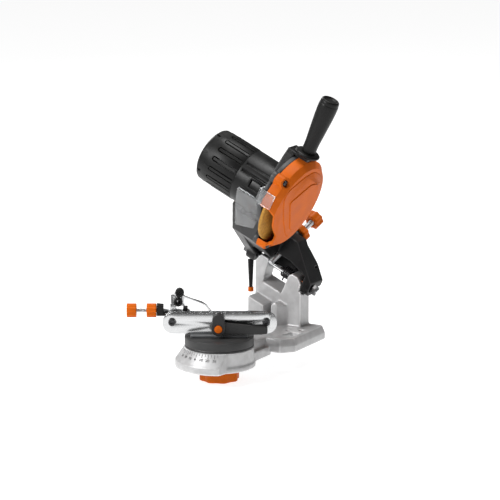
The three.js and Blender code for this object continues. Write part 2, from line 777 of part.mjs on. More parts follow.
// A closed tube with a ring of points at each stop of a path.
function tube(path, radius, sides) {
  const positions = [];
  const index = [];
  let across = null;
  path.forEach((point, i) => {
    const before = path[Math.max(i - 1, 0)];
    const after = path[Math.min(i + 1, path.length - 1)];
    const along = after.clone().sub(before).normalize();
    const start = across ?? new THREE.Vector3(1, 0, 0);
    const first = start.clone().addScaledVector(along, -start.dot(along)).normalize();
    const second = along.clone().cross(first);
    across = first;
    for (let k = 0; k < sides; k++) {
      const angle = (k / sides) * 2 * Math.PI;
      const p = point.clone();
      p.addScaledVector(first, radius * Math.cos(angle));
      p.addScaledVector(second, radius * Math.sin(angle));
      positions.push(p.x, p.y, p.z);
    }
  });
  for (let i = 0; i < path.length - 1; i++) {
    for (let k = 0; k < sides; k++) {
      const a = i * sides + k;
      const b = i * sides + ((k + 1) % sides);
      index.push(a, b, b + sides, a, b + sides, a + sides);
    }
  }
  const last = (path.length - 1) * sides;
  for (let k = 1; k < sides - 1; k++) {
    index.push(0, k + 1, k);
    index.push(last, last + k, last + k + 1);
  }
  const geometry = new THREE.BufferGeometry();
  geometry.setAttribute("position", new THREE.Float32BufferAttribute(positions, 3));
  geometry.setIndex(index);
  return geometry;
}

// Swing arm, in the hinge frame

function depthAxis(geometry) {
  const turn = new THREE.Matrix4().makeRotationX(-(Math.PI / 2 - DEPTH_LEAN));
  const place = new THREE.Matrix4().makeTranslation(
    DEPTH_ACROSS,
    DEPTH_TIP_BEHIND,
    DEPTH_TIP_ABOVE,
  );
  return geometry.applyMatrix4(turn).applyMatrix4(place);
}

function swingArm() {
  const legOuterLeft = ARM_LEG_LEFT - ARM_LEG_WIDTH;
  const legOuterRight = ARM_LEG_RIGHT + ARM_LEG_WIDTH;
  const low = -ARM_LEG_ROUND;
  const yoke = wallAlongY(
    [
      [legOuterLeft, low],
      [ARM_LEG_LEFT, low],
      [ARM_LEG_LEFT, ARM_ARCH_LOW],
      [ARM_LEG_LEFT + 21, ARM_ARCH_HIGH],
      [10, ARM_ARCH_HIGH],
      [ARM_LEG_RIGHT, ARM_ARCH_LOW],
      [ARM_LEG_RIGHT, low],
      [legOuterRight, low],
      [legOuterRight, 9],
      [9, ARM_SHOULDER],
      [-26, ARM_SHOULDER],
      [legOuterLeft, 24],
    ],
    ARM_FRONT,
    ARM_BACK,
  );
  const roundEnds = wallAlongX(
    [
      ...arc((ARM_FRONT + ARM_BACK) / 2, 0, (ARM_BACK - ARM_FRONT) / 2, 180, 360, 10),
      [ARM_BACK, ARM_SHOULDER + 1],
      [ARM_FRONT, ARM_SHOULDER + 1],
    ],
    legOuterLeft - 1,
    legOuterRight + 1,
  );
  const web = wallAlongX(
    [
      [ARM_BACK, ARM_ARCH_HIGH + 2],
      [ARM_BACK + 6, 46],
      [WHEEL_BEHIND + 58, WHEEL_ABOVE - 22],
      [WHEEL_BEHIND + 36, WHEEL_ABOVE - 8],
      [WHEEL_BEHIND + 30, WHEEL_ABOVE - 25],
      [WHEEL_BEHIND + 20, WHEEL_ABOVE - 34],
      [WHEEL_BEHIND + 2, WHEEL_ABOVE - 39],
      [WHEEL_BEHIND - HOUSING_RADIUS + 14, WHEEL_ABOVE - HOUSING_RADIUS],
      [WHEEL_BEHIND + 4.5, WHEEL_ABOVE - HOUSING_RADIUS - 41],
      [ARM_FRONT - 15, ARM_ARCH_HIGH - 4],
      [ARM_FRONT + 4, ARM_ARCH_HIGH + 2],
    ],
    ARM_WEB_LEFT - 1,
    HOUSING_FRONT - GAP,
  );
  const sidePlate = wallAlongX(
    [
      [ARM_FRONT + 1, 1],
      [WHEEL_BEHIND + 4.5, WHEEL_ABOVE - HOUSING_RADIUS - 41],
      [WHEEL_BEHIND - HOUSING_RADIUS + 9.5, WHEEL_ABOVE - HOUSING_RADIUS + 4.5],
      [WHEEL_BEHIND - HOUSING_RADIUS / 2, WHEEL_ABOVE - HOUSING_RADIUS / 2],
      [WHEEL_BEHIND + HOUSING_RADIUS / 2, WHEEL_ABOVE - HOUSING_RADIUS / 2],
      [ARM_BACK + 6, 46],
      [ARM_BACK, ARM_ARCH_HIGH + 2],
      [ARM_BACK - 1, 1],
    ],
    ARM_WEB_LEFT,
    ARM_LEG_LEFT,
  );
  const webLimit = wallAlongY(
    [
      [HOUSING_FRONT - GAP, ARM_ARCH_HIGH - 6],
      [HOUSING_FRONT - GAP, WHEEL_ABOVE],
      [ARM_WEB_LEFT, WHEEL_ABOVE],
      [ARM_WEB_LEFT, ARM_ARCH_HIGH - 6],
    ],
    WHEEL_BEHIND - HOUSING_RADIUS,
    ARM_BACK + HOUSING_RADIUS,
  );
  const lug = depthAxis(post(DEPTH_LUG_RADIUS, DEPTH_LUG_START, DEPTH_LUG_END));
  const saddle = postAlongX(
    HOUSING_RADIUS + GAP,
    -140,
    0,
    WHEEL_BEHIND,
    WHEEL_ABOVE,
    ROUND,
  );
  const rodHole = postAlongX(ROD_RADIUS + RUNNING_GAP, -100, 100);
  const screwHole = depthAxis(post(DEPTH_SCREW_RADIUS + RUNNING_GAP, -20, DEPTH_SCREW_LENGTH));
  const screwRoom = depthAxis(post(DEPTH_SCREW_RADIUS + 3, -20, DEPTH_LUG_START - 2));
  const wallFront = ARM_BACK + ARM_WALL_BEHIND;
  const wallBack = wallFront + ARM_WALL;
  const backWall = wallAlongX(
    [
      [wallFront, ARM_WALL_LOWEST],
      [wallBack, ARM_WALL_LOWEST],
      [wallBack, ARM_ARCH_HIGH + 4],
      [ARM_BACK, 46],
      [ARM_BACK - 3, 46],
      [ARM_BACK - 3, ARM_ARCH_HIGH + 2],
      [wallFront, ARM_ARCH_HIGH + 2],
    ],
    legOuterLeft,
    legOuterRight,
  );
  const wallLimit = wallAlongY(
    [
      [legOuterLeft, ARM_WALL_LOW],
      [ARM_LEG_LEFT, ARM_WALL_LOW],
      [ARM_LEG_LEFT, ARM_WALL_LOWEST],
      [ARM_LEG_RIGHT, ARM_WALL_LOWEST],
      [ARM_LEG_RIGHT, ARM_WALL_LOW],
      [legOuterRight, ARM_WALL_LOW],
      [legOuterRight, 9],
      [9, ARM_SHOULDER],
      [-26, ARM_SHOULDER],
      [legOuterLeft, 24],
    ],
    ARM_FRONT,
    wallBack + 1,
  );
  const cheeks = [
    [legOuterLeft, ARM_LEG_LEFT],
    [ARM_LEG_RIGHT, legOuterRight],
  ].map(([x0, x1]) => block(x0, x1, ARM_BACK - 3, wallFront + 1, ARM_WALL_LOW, ARM_ARCH_HIGH + 4));
  const bridge = shared(join(backWall, ...cheeks), wallLimit);
  const nutRoom = postAlongX(ROD_NUT_WIDTH / 2 + 3.5, ARM_WEB_LEFT - 1, legOuterLeft);
  const body = join(shared(yoke, roundEnds), shared(web, webLimit), sidePlate, bridge, lug);
  return cut(body, saddle, rodHole, screwHole, screwRoom, nutRoom);
}

// Wheel guard, in the wheel frame: X along the shaft, Y back, Z up

function guardOutline(radius, earRadius) {
  const disc = arc(0, 0, radius, COVER_OPEN_TO - 360 + 4, COVER_OPEN_FROM, 36);
  for (const step of [0, 1, 2, 3]) {
    const depth = Math.min(COVER_EDGE_START + step * COVER_EDGE_STEP, COVER_EDGE_MOST);
    const angle = COVER_OPEN_FROM + 10 + step * 18;
    disc.push(arc(0, 0, radius - depth, angle, angle + 1, 1)[0]);
  }
  const body = slab(disc, 0, 1);
  const ears = COVER_SCREW_ANGLES.map((angle) => {
    const [y, z] = arc(0, 0, COVER_SCREW_CIRCLE, angle, angle + 1, 1)[0];
    return post(earRadius, 0, 1).translate(y, z, 0);
  });
  return join(body, ...ears);
}

// Lays a plan-drawn form into the wheel frame, from x0 to x1.
function acrossWheel(form, x0, x1) {
  const turn = new THREE.Matrix4().makeBasis(
    new THREE.Vector3(0, 1, 0),
    new THREE.Vector3(0, 0, 1),
    new THREE.Vector3(1, 0, 0),
  );
  return form.scale(1, 1, x1 - x0).translate(0, 0, x0).applyMatrix4(turn);
}

function wheelCover() {
  const back = COVER_BACK;
  const mid = COVER_FACE - COVER_CHAMFER;
  const flange = acrossWheel(guardOutline(COVER_RADIUS, COVER_EAR_RADIUS), back, mid);
  const rimBevel = turnedAlongX([
    [0, back],
    [COVER_RADIUS + 9, back],
    [COVER_RADIUS + 9, mid - 5],
    [COVER_RADIUS, mid],
    [COVER_RADIUS - COVER_CHAMFER, COVER_FACE],
    [0, COVER_FACE],
  ]);
  const face = acrossWheel(guardOutline(COVER_RADIUS, COVER_EAR_RADIUS - 1), mid - 1, COVER_FACE);
  const shell = shared(join(flange, face), rimBevel);
  const inner = WHEEL_RADIUS + 2.2;
  const cavity = turnedAlongX([
    [0, back - 1],
    [inner, back - 1],
    [inner, mid - COVER_WALL + 1],
    [inner - COVER_CHAMFER, COVER_FACE - COVER_WALL],
    [0, COVER_FACE - COVER_WALL],
  ]);
  const screws = COVER_SCREW_ANGLES.map((angle) => {
    const [y, z] = arc(0, 0, COVER_SCREW_CIRCLE + 1.5, angle, angle + 1, 1)[0];
    const hole = postAlongX(2.4, back - 2, COVER_FACE + 2, y, z, 16);
    return join(hole, postAlongX(4.8, COVER_SCREW_SEAT, COVER_FACE + 2, y, z, 16));
  });
  return cut(shell, cavity, ...screws);
}

function coverScrew(angle) {
  const [y, z] = arc(0, 0, COVER_SCREW_CIRCLE + 1.5, angle, angle + 1, 1)[0];
  const seat = COVER_SCREW_SEAT;
  const head = turnedAlongX([
    [0, seat + 3.4],
    [3, seat + 3.4],
    [4, seat + 2.4],
    [4, seat + 0.3],
    [2.1, seat + 0.3],
    [2.1, COVER_BACK - 5],
    [0, COVER_BACK - 5],
  ], 16);
  return head.translate(0, y, z);
}

function backplate() {
  const x1 = COVER_BACK - GAP;
  const x0 = x1 - BACKPLATE_THICKNESS;
  const plate = acrossWheel(guardOutline(COVER_RADIUS, COVER_EAR_RADIUS), x0, x1);
  const shaftHole = postAlongX(SHAFT_RADIUS + 2, x0 - 1, x1 + 1);
  const screws = COVER_SCREW_ANGLES.map((angle) => {
    const [y, z] = arc(0, 0, COVER_SCREW_CIRCLE + 1.5, angle, angle + 1, 1)[0];
    return postAlongX(2.4, x0 - 2, x1 + 2, y, z, 16);
  });
  return cut(plate, shaftHole, ...screws);
}

function handleBracket() {
  const x1 = COVER_BACK - GAP - BACKPLATE_THICKNESS - GAP;
  const x0 = x1 - 12;
  const web = wallAlongX(
    [
      [-26, HOUSING_RADIUS + GAP + 0.5],
      [26, HOUSING_RADIUS + GAP + 0.5],
      [13, COVER_RADIUS + 2],
      [-13, COVER_RADIUS + 2],
    ],
    x0,
    x1,
  );
  const cap = block(x0, 9, -11.5, 11.5, COVER_RADIUS + 1, COVER_RADIUS + 5.5);
  const stub = post(NECK_STUB_RADIUS, COVER_RADIUS + 3, GRIP_BASE - 5 - GAP);
  const stud = post(4, COVER_RADIUS + 3, GRIP_BASE + 30);
  return join(web, cap, stub, stud);
}

// Handle, in the handle frame: along Z from the wheel centre

function gripCollar() {
  const low = GRIP_BASE - 5;
  const ring = turned([
    [4.2 + GAP, low],
    [COLLAR_RADIUS - 1.5, low],
    [COLLAR_RADIUS, low + 1.5],
    [COLLAR_RADIUS, low + 3],
    [COLLAR_RADIUS - 2, low + 4.6],
    [4.2 + GAP, low + 4.6],
    [4.2 + GAP, low],
  ], 28);
  return ring;
}

function grip() {
  const base = GRIP_BASE;
  const span = GRIP_TOP - GRIP_BASE;
  const body = turned([
    [4.2 + GAP, base],
    [9.2, base],
    [9.8, base + 1.5],
    [9.6, base + span * 0.12],
    [10.4, base + span * 0.3],
    [12, base + span * 0.55],
    [13.1, base + span * 0.78],
    [13, base + span * 0.93],
    [11.6, base + span - 1],
    [10, base + span],
    [0, base + span - 2.2],
    [0, base + 34],
    [4.2 + GAP, base + 34],
    [4.2 + GAP, base],
  ], 28);
  return body;
}

// Motor housing, in the wheel frame

function frontHousing() {
  const r = HOUSING_RADIUS;
  const inner = r - HOUSING_WALL;
  const body = turnedAlongX([
    [SHAFT_RADIUS + 2, HOUSING_FRONT],
    [r - 4, HOUSING_FRONT],
    [r, HOUSING_FRONT - 4],
    [r, HOUSING_SEAM + GAP],
    [inner, HOUSING_SEAM + GAP],
    [inner, HOUSING_FRONT - HOUSING_WALL - 10],
    [BEARING_RADIUS + 4, HOUSING_FRONT - HOUSING_WALL - 2],
    [BEARING_RADIUS + 4, FRONT_BEARING - BEARING_WIDTH],
    [BEARING_RADIUS + GAP, FRONT_BEARING - BEARING_WIDTH],
    [BEARING_RADIUS + GAP, FRONT_BEARING + GAP],
    [SHAFT_RADIUS + 2, FRONT_BEARING + GAP],
    [SHAFT_RADIUS + 2, HOUSING_FRONT],
  ]);
  const panel = switchPlace(
    block(
      -SWITCH_LENGTH / 2,
      SWITCH_LENGTH / 2,
      -SWITCH_WIDTH / 2,
      SWITCH_WIDTH / 2,
      inner - 1,
      r + SWITCH_RAISE,
    ),
  );
  const opening = switchPlace(
    block(
      -ROCKER_LENGTH / 2 - ROCKER_ROOM,
      ROCKER_LENGTH / 2 + ROCKER_ROOM,
      -ROCKER_WIDTH / 2 - 0.6,
      ROCKER_WIDTH / 2 + 0.6,
      inner - 3,
      r + SWITCH_RAISE + 1,
    ),
  );
  const bodyRoom = switchPlace(
    block(
      -SWITCH_BODY_LENGTH / 2 - GAP,
      SWITCH_BODY_LENGTH / 2 + GAP,
      -SWITCH_BODY_WIDTH / 2 - GAP,
      SWITCH_BODY_WIDTH / 2 + GAP,
      inner - 14,
      inner + 0.5,
    ),
  );
  const grooves = HOUSING_GROOVES.map((angle) => {
    const rod = postAlongX(HOUSING_GROOVE_RADIUS, HOUSING_SEAM + 4, HOUSING_FRONT - 10, 0, r + 0.4, 12);
    return rod.rotateX((angle - 90) * DEG);
  });
  return cut(join(body, panel), opening, bodyRoom, ...grooves);
}

function switchPlace(geometry) {
  const turn = new THREE.Matrix4().makeRotationX((SWITCH_AROUND - 90) * DEG);
  return geometry.applyMatrix4(turn).translate(SWITCH_CENTRE, 0, 0);
}

function rearCap() {
  const r = HOUSING_RADIUS;
  const inner = r - HOUSING_WALL;
  const body = turnedAlongX([
    [inner, HOUSING_SEAM],
    [r, HOUSING_SEAM],
    [r, HOUSING_REAR + HOUSING_REAR_CHAMFER],
    [r - HOUSING_REAR_CHAMFER * 0.35, HOUSING_REAR + HOUSING_REAR_CHAMFER * 0.3],
    [r - HOUSING_REAR_CHAMFER, HOUSING_REAR],
    [0, HOUSING_REAR],
    [0, REAR_BEARING - GAP],
    [BEARING_RADIUS + GAP, REAR_BEARING - GAP],
    [BEARING_RADIUS + GAP, REAR_BEARING + BEARING_WIDTH],
    [BEARING_RADIUS + 4, REAR_BEARING + BEARING_WIDTH],
    [BEARING_RADIUS + 5, HOUSING_REAR + HOUSING_WALL + 3],
    [inner, HOUSING_REAR + HOUSING_REAR_CHAMFER + 3],
    [inner, HOUSING_SEAM],
  ]);
  const vents = [];
  const front = HOUSING_SEAM - VENT_FROM_SEAM;
  for (let i = 0; i < VENT_COUNT; i++) {
    const angle = VENT_START + (i / VENT_COUNT) * 2 * Math.PI;
    const slot = block(
      front - VENT_LENGTH,
      front,
      -VENT_WIDTH / 2,
      VENT_WIDTH / 2,
      inner - 1,
      r + 1,
    );
    vents.push(slot.rotateX(angle));
  }
  return cut(body, ...vents);
}

// Motor inside

function stator() {
  const x1 = ARMATURE_FRONT;
  const x0 = ARMATURE_FRONT - ARMATURE_LENGTH;
  const ring = cut(
    postAlongX(STATOR_RADIUS, x0, x1, 0, 0, ROUND),
    postAlongX(STATOR_RADIUS - STATOR_YOKE, x0 - 1, x1 + 1, 0, 0, ROUND),
  );
  const poles = [0, 180].map((turn) => {
    const bore = ARMATURE_RADIUS + AIR_GAP;
    const half = POLE_ARC / 2;
    const shoe = slab(
      [...arc(0, 0, bore, -half, half, 10), ...arc(0, 0, bore + 3, half, -half, 10)],
      x0,
      x1,
    );
    const core = block(bore + 1, STATOR_RADIUS - STATOR_YOKE + 1, -8, 8, x0, x1);
    return join(shoe, core).rotateY(Math.PI / 2).rotateX(turn * DEG + 90 * DEG);
  });
  return join(ring, ...poles);
}

// A field coil: a racetrack round one pole's core, with its ends turned past the stack.
function fieldCoil(turn) {
  const x1 = ARMATURE_FRONT + COIL_LENGTH;
  const x0 = ARMATURE_FRONT - ARMATURE_LENGTH - COIL_LENGTH;
  const low = ARMATURE_RADIUS + AIR_GAP + 3 + GAP;
  const high = STATOR_RADIUS - STATOR_YOKE - GAP - 2.6;
  const outer = block(-11.6, 11.6, x0, x1, low, high);
  const hole = block(-8.4, 8.4, x0 + COIL_LENGTH - 0.5, x1 - COIL_LENGTH + 0.5, low - 1, high + 1);
  return cut(outer, hole).rotateZ(-Math.PI / 2).rotateX(turn * DEG);
}

function armature() {
  const x1 = ARMATURE_FRONT;
  const x0 = ARMATURE_FRONT - ARMATURE_LENGTH;
  const slots = 12;
  const outline = [];
  for (let i = 0; i < slots; i++) {
    const centre = (i / slots) * 360;
    const half = 360 / slots / 2;
    outline.push(...arc(0, 0, ARMATURE_RADIUS, centre - half + 3, centre + half - 3, 3));
    outline.push(arc(0, 0, ARMATURE_RADIUS - 5, centre + half, centre + half + 1, 1)[0]);
  }
  const stack = slab(outline, x0, x1).rotateY(Math.PI / 2);
  const ends = postAlongX(ARMATURE_RADIUS - 5.5, x0 - 3.5, x1 + 6);
  return cut(join(stack, ends), postAlongX(SHAFT_RADIUS + GAP / 2, x0 - 9, x1 + 9));
}

function fan() {
  const x1 = FAN_FRONT;
  const x0 = FAN_FRONT - FAN_HEIGHT;
  const disc = postAlongX(FAN_RADIUS - 2, x1 - 2, x1, 0, 0, 28);
  const hub = postAlongX(SHAFT_RADIUS + 4, x0, x1);
  const blades = [];
  for (let i = 0; i < FAN_BLADES; i++) {
    const blade = block(x0, x1 - 1, 7, FAN_RADIUS - 2.5, -0.9, 0.9);
    blades.push(blade.rotateX((i / FAN_BLADES) * 2 * Math.PI));
  }
  const body = join(disc, hub, ...blades);
  return cut(body, postAlongX(SHAFT_RADIUS + GAP / 2, x0 - 1, x1 + 1));
}

function shaft() {
  return turnedAlongX([
    [0, REAR_BEARING + 0.5],
    [SHAFT_RADIUS - 0.5, REAR_BEARING + 0.5],
    [SHAFT_RADIUS, REAR_BEARING + 1],
    [SHAFT_RADIUS, -9],
    [SHAFT_RADIUS, 11.5],
    [SHAFT_RADIUS - 0.5, 12],
    [0, 12],
  ], 24);
}

function bearing(x0) {
  const outer = postAlongX(BEARING_RADIUS, x0, x0 + BEARING_WIDTH, 0, 0, 24);
  return cut(outer, postAlongX(SHAFT_RADIUS + GAP / 2, x0 - 1, x0 + BEARING_WIDTH + 1));
}

function ringOnShaft(radius, x0, x1, sides = 28) {
  const outer = postAlongX(radius, x0, x1, 0, 0, sides);
  return cut(outer, postAlongX(SHAFT_RADIUS + GAP / 2, x0 - 1, x1 + 1));
}

function wheel() {
  const half = WHEEL_THICKNESS / 2;
  const edge = 1.4;
  return turnedAlongX([
    [SHAFT_RADIUS + GAP / 2, -half],
    [WHEEL_RADIUS - edge, -half],
    [WHEEL_RADIUS, -half + edge],
    [WHEEL_RADIUS, half - edge],
    [WHEEL_RADIUS - edge, half],
    [SHAFT_RADIUS + GAP / 2, half],
    [SHAFT_RADIUS + GAP / 2, -half],
  ], DIAL_ROUND);
}

function brushHolder(side) {
  const middle = COMMUTATOR_FRONT - COMMUTATOR_LENGTH / 2;
  const body = block(
    middle - 4,
    middle + 4,
    COMMUTATOR_RADIUS + GAP,
    HOUSING_RADIUS - HOUSING_WALL - 2 * GAP,
    -4,
    4,
  );
  return side > 0 ? body : body.rotateX(Math.PI);
}

// Switch

function switchBody() {
  const inner = HOUSING_RADIUS - HOUSING_WALL;
  return switchPlace(
    cut(
      block(
        -SWITCH_BODY_LENGTH / 2,
        SWITCH_BODY_LENGTH / 2,
        -SWITCH_BODY_WIDTH / 2,
        SWITCH_BODY_WIDTH / 2,
        inner - 12,
        inner + 0.2,
      ),
      block(
        -ROCKER_LENGTH / 2 - 0.6,
        ROCKER_LENGTH / 2 + 0.6,
        -ROCKER_WIDTH / 2 - 0.6,
        ROCKER_WIDTH / 2 + 0.6,
        inner - 6,
        inner + 4,
      ),
    ),
  );
}

function rocker() {
  const pivot = HOUSING_RADIUS - HOUSING_WALL + 0.6;
  const half = ROCKER_LENGTH / 2;
  const top = HOUSING_RADIUS + SWITCH_RAISE + 1.4;
  const points = [
    [-half + 0.6, pivot - 2.2],
    [half - 0.6, pivot - 2.2],
    [half, top + 0.6],
    [0, top - 1.4],
    [-half, top - 1],
  ];
  return switchPlace(wallAlongY(points, -ROCKER_WIDTH / 2, ROCKER_WIDTH / 2));
}

// Visor, in the wheel frame

function visor() {
  const beside = COVER_BACK - 2 * GAP - BACKPLATE_THICKNESS;
  const lean = new THREE.Matrix4().makeRotationX(VISOR_LEAN);
  const drawn = wallAlongY(
    [
      [VISOR_LEFT, 0],
      [VISOR_LEFT + 1.5, -VISOR_LEFT_DROP * 0.4],
      [VISOR_LOW_LEFT, -VISOR_LEFT_DROP],
      [VISOR_LOW_RIGHT, -VISOR_RIGHT_DROP],
      [beside, -22],
      [beside, 0],
    ],
    0,
    VISOR_SHEET,
  );
  const shelf = block(VISOR_LEFT, beside, 0, VISOR_SHELF, -VISOR_SHEET, 0);
  const sheet = join(drawn, shelf).applyMatrix4(lean).translate(0, VISOR_FRONT, VISOR_TOP);
  const side = wallAlongX(
    [
      [VISOR_FRONT + 4.4, VISOR_TOP - 8],
      [VISOR_FRONT + 3.4, VISOR_HOOD_HIGH],
      [VISOR_HOOD_FRONT, VISOR_HOOD_HIGH],
      [VISOR_HOOD_FRONT, VISOR_HOOD_LOW],
      [VISOR_FRONT - 5, VISOR_TOP - 8],
    ],
    beside - VISOR_SHEET,
    beside,
  );
  const hood = block(
    beside - VISOR_SHEET,
    VISOR_HOOD_RIGHT,
    VISOR_HOOD_FRONT,
    VISOR_HOOD_FRONT + VISOR_SHEET,
    VISOR_HOOD_LOW,
    VISOR_HOOD_HIGH,
  );
  return join(sheet, side, hood);
}

// Vice, in the vice frame: X along the jaws, Y to the back, Z up

function turntableDisc() {
  const low = PLATE_HEIGHT + GAP;
  const high = low + DISC_THICKNESS;
  const r = DISC_RADIUS;
  return turned([
    [PIVOT_RADIUS + GAP, low],
    [r, low],
    [r, high - 1.2],
    [r - 1.2, high],
    [PIVOT_RADIUS + GAP, high],
    [PIVOT_RADIUS + GAP, low],
  ], DIAL_ROUND * 0.8);
}

function footHeight() {
  return PLATE_HEIGHT + 2 * GAP + DISC_THICKNESS;
}

function viceFoot() {
  const low = footHeight();
  const flange = block(-FOOT_HALF_LENGTH, FOOT_HALF_LENGTH, -FOOT_FRONT, FOOT_BACK, low, low + FOOT_HEIGHT);
  const front = JAW_GAP / 2 + JAW_THICKNESS + GAP;
  const upright = wallAlongY(
    [
      [-FOOT_HALF_LENGTH, low + 1],
      [FOOT_HALF_LENGTH, low + 1],
      [FOOT_HALF_LENGTH - 8, UPRIGHT_TOP],
      [-FOOT_HALF_LENGTH + 8, UPRIGHT_TOP],
    ],
    front,
    front + UPRIGHT_THICKNESS,
  );
  const ribs = [-24, 24].map((x) =>
    wallAlongX(
      [
        [front + 2, low + 1],
        [FOOT_BACK - 1, low + 1],
        [FOOT_BACK - 1, low + 6],
        [front + UPRIGHT_THICKNESS, UPRIGHT_TOP - 8],
        [front + 2, UPRIGHT_TOP - 8],
      ],
      x - 2.5,
      x + 2.5,
    ),
  );
  const headRoom = post(PIVOT_HEAD_RADIUS + GAP, low - 1, low + PIVOT_HEAD_HEIGHT + GAP);
  const clampHole = postAlongY(CLAMP_RADIUS + RUNNING_GAP, -40, 40, CLAMP_AT, CLAMP_HEIGHT);
  return cut(join(flange, upright, ...ribs), headRoom, clampHole);
}

function jawOutline() {
  const r = (JAW_TOP - JAW_BOTTOM) / 2;
  const middle = (JAW_TOP + JAW_BOTTOM) / 2;
  return [
    ...arc(JAW_RIGHT - r, middle, r, -90, 90, 12),
    ...arc(JAW_LEFT + r, middle, r, 90, 270, 12),
  ];
}

function jaw(y0) {
  const plate = wallAlongY(jawOutline(), y0, y0 + JAW_THICKNESS);
  const holes = [-GUIDE_BOLT_AT, GUIDE_BOLT_AT].map((x) =>
    postAlongY(GUIDE_BOLT_RADIUS + RUNNING_GAP, y0 - 1, y0 + 9, x, GUIDE_BOLT_HEIGHT),
  );
  const clamp = postAlongY(CLAMP_RADIUS + RUNNING_GAP, y0 - 1, y0 + 9, CLAMP_AT, CLAMP_HEIGHT);
  return cut(plate, clamp, ...holes);
}

function guideBolt(x, held) {
  const front = -JAW_GAP / 2 - JAW_THICKNESS - GAP;
  const back = JAW_GAP / 2 + JAW_THICKNESS + GAP + held;
  const head = postAlongY(GUIDE_HEAD_RADIUS, front - 4, front);
  const socket = wallAlongY(hexagon(4.4), front - 5, front - 1.6);
  const nut = wallAlongY(hexagon(8), back, back + 4);
  const pin = postAlongY(GUIDE_BOLT_RADIUS, front - 1, back + 5);
  return cut(join(head, pin, nut), socket).translate(x, 0, GUIDE_BOLT_HEIGHT);
}

function clampBolt() {
  const front = -JAW_GAP / 2 - JAW_THICKNESS - GAP;
  const back = JAW_GAP / 2 + JAW_THICKNESS + GAP + UPRIGHT_THICKNESS + GAP;
  const pin = postAlongY(CLAMP_RADIUS, front - LEVER_THICKNESS + 3, back + 5);
  const head = wallAlongY(hexagon(12), back, back + 5);
  return join(pin, head).translate(CLAMP_AT, 0, CLAMP_HEIGHT);
}

function spreadSpring() {
  const half = JAW_GAP / 2;
  const wire = 0.35;
  const radius = CLAMP_RADIUS + RUNNING_GAP + wire + 1;
  const turns = 2;
  const steps = 8;
  const pitch = (2 * half - 2 * wire - 0.7) / turns;
  const path = [];
  for (let i = 0; i <= turns * steps; i++) {
    const angle = (i / steps) * 2 * Math.PI;
    const along = -half + wire + 0.35 + (i / steps) * pitch;
    path.push(new THREE.Vector3(radius * Math.cos(angle), along, radius * Math.sin(angle)));
  }
  console.log("spread spring: least gap to itself", (pitch - 2 * wire).toFixed(2));
  return tube(path, wire, 5).translate(CLAMP_AT, 0, CLAMP_HEIGHT);
}

function clampLever() {
  const back = -JAW_GAP / 2 - JAW_THICKNESS - GAP;
  const r = LEVER_HUB_RADIUS;
  const hub = wallAlongY(
    [...arc(0, 0, r, 180, 360, 12), ...arc(0, LEVER_HUB_RISE, r - 1.5, 0, 180, 12)],
    back - LEVER_THICKNESS,
    back,
  );
  const bar = wallAlongY(
    [
      [0, -8],
      [LEVER_LENGTH - 8, -8],
      [LEVER_LENGTH - 1, -7],
      [LEVER_LENGTH, -5],
      [LEVER_LENGTH, 2],
      [LEVER_LENGTH - 3, 3],
      [LEVER_LENGTH - 14, 3],
      [6, 8],
    ],
    back - LEVER_THICKNESS + 3,
    back - 4,
  );
  const bore = postAlongY(CLAMP_RADIUS + GAP, back - LEVER_THICKNESS - 1, back + 1);
  const capSeat = postAlongY(LEVER_CAP_RADIUS + GAP, back - LEVER_THICKNESS - 1, back - LEVER_THICKNESS + 2.4);
  return cut(join(hub, bar), bore, capSeat).translate(CLAMP_AT, 0, CLAMP_HEIGHT);
}

function leverCap() {
  const front = -JAW_GAP / 2 - JAW_THICKNESS - GAP - LEVER_THICKNESS;
  const cap = postAlongY(LEVER_CAP_RADIUS, front - 1.2, front + 2.1);
  return cap.translate(CLAMP_AT, 0, CLAMP_HEIGHT);
}

// Chain stop

function stopHolder() {
  const front = JAW_GAP / 2 + JAW_THICKNESS + GAP;
  const y = STOP_SCREW_BEHIND;
  const low = STOP_SCREW_HEIGHT - STOP_SCREW_RADIUS - 4;
  const body = wallAlongY(
    [
      [STOP_HOLDER_LEFT, low],
      [STOP_HOLDER_RIGHT, low],
      [STOP_HOLDER_RIGHT, low + 11.5],
      [STOP_HOLDER_RIGHT - 6, low + 11.5],
      [STOP_HOLDER_RIGHT - 6, low + 3.4],
      [STOP_HOLDER_LEFT + 9, low + 3.4],
      [STOP_HOLDER_LEFT + 9, low + 14],
      [STOP_HOLDER_LEFT, low + 15],
    ],
    front,
    y + 7,
  );
  const tab = block(
    -GUIDE_BOLT_AT - 10,
    -GUIDE_BOLT_AT + 10,
    front,
    front + STOP_TAB_THICKNESS,
    GUIDE_BOLT_HEIGHT - 6,
    low + 1,
  );
  const bolt = postAlongY(
    GUIDE_BOLT_RADIUS + GAP,
    front - 1,
    front + 9,
    -GUIDE_BOLT_AT,
    GUIDE_BOLT_HEIGHT,
  );
  const hole = postAlongX(
    STOP_SCREW_RADIUS + RUNNING_GAP,
    STOP_HOLDER_LEFT - 2,
    STOP_HOLDER_RIGHT + 2,
    y,
    STOP_SCREW_HEIGHT,
  );
  return cut(join(body, tab), hole, bolt);
}

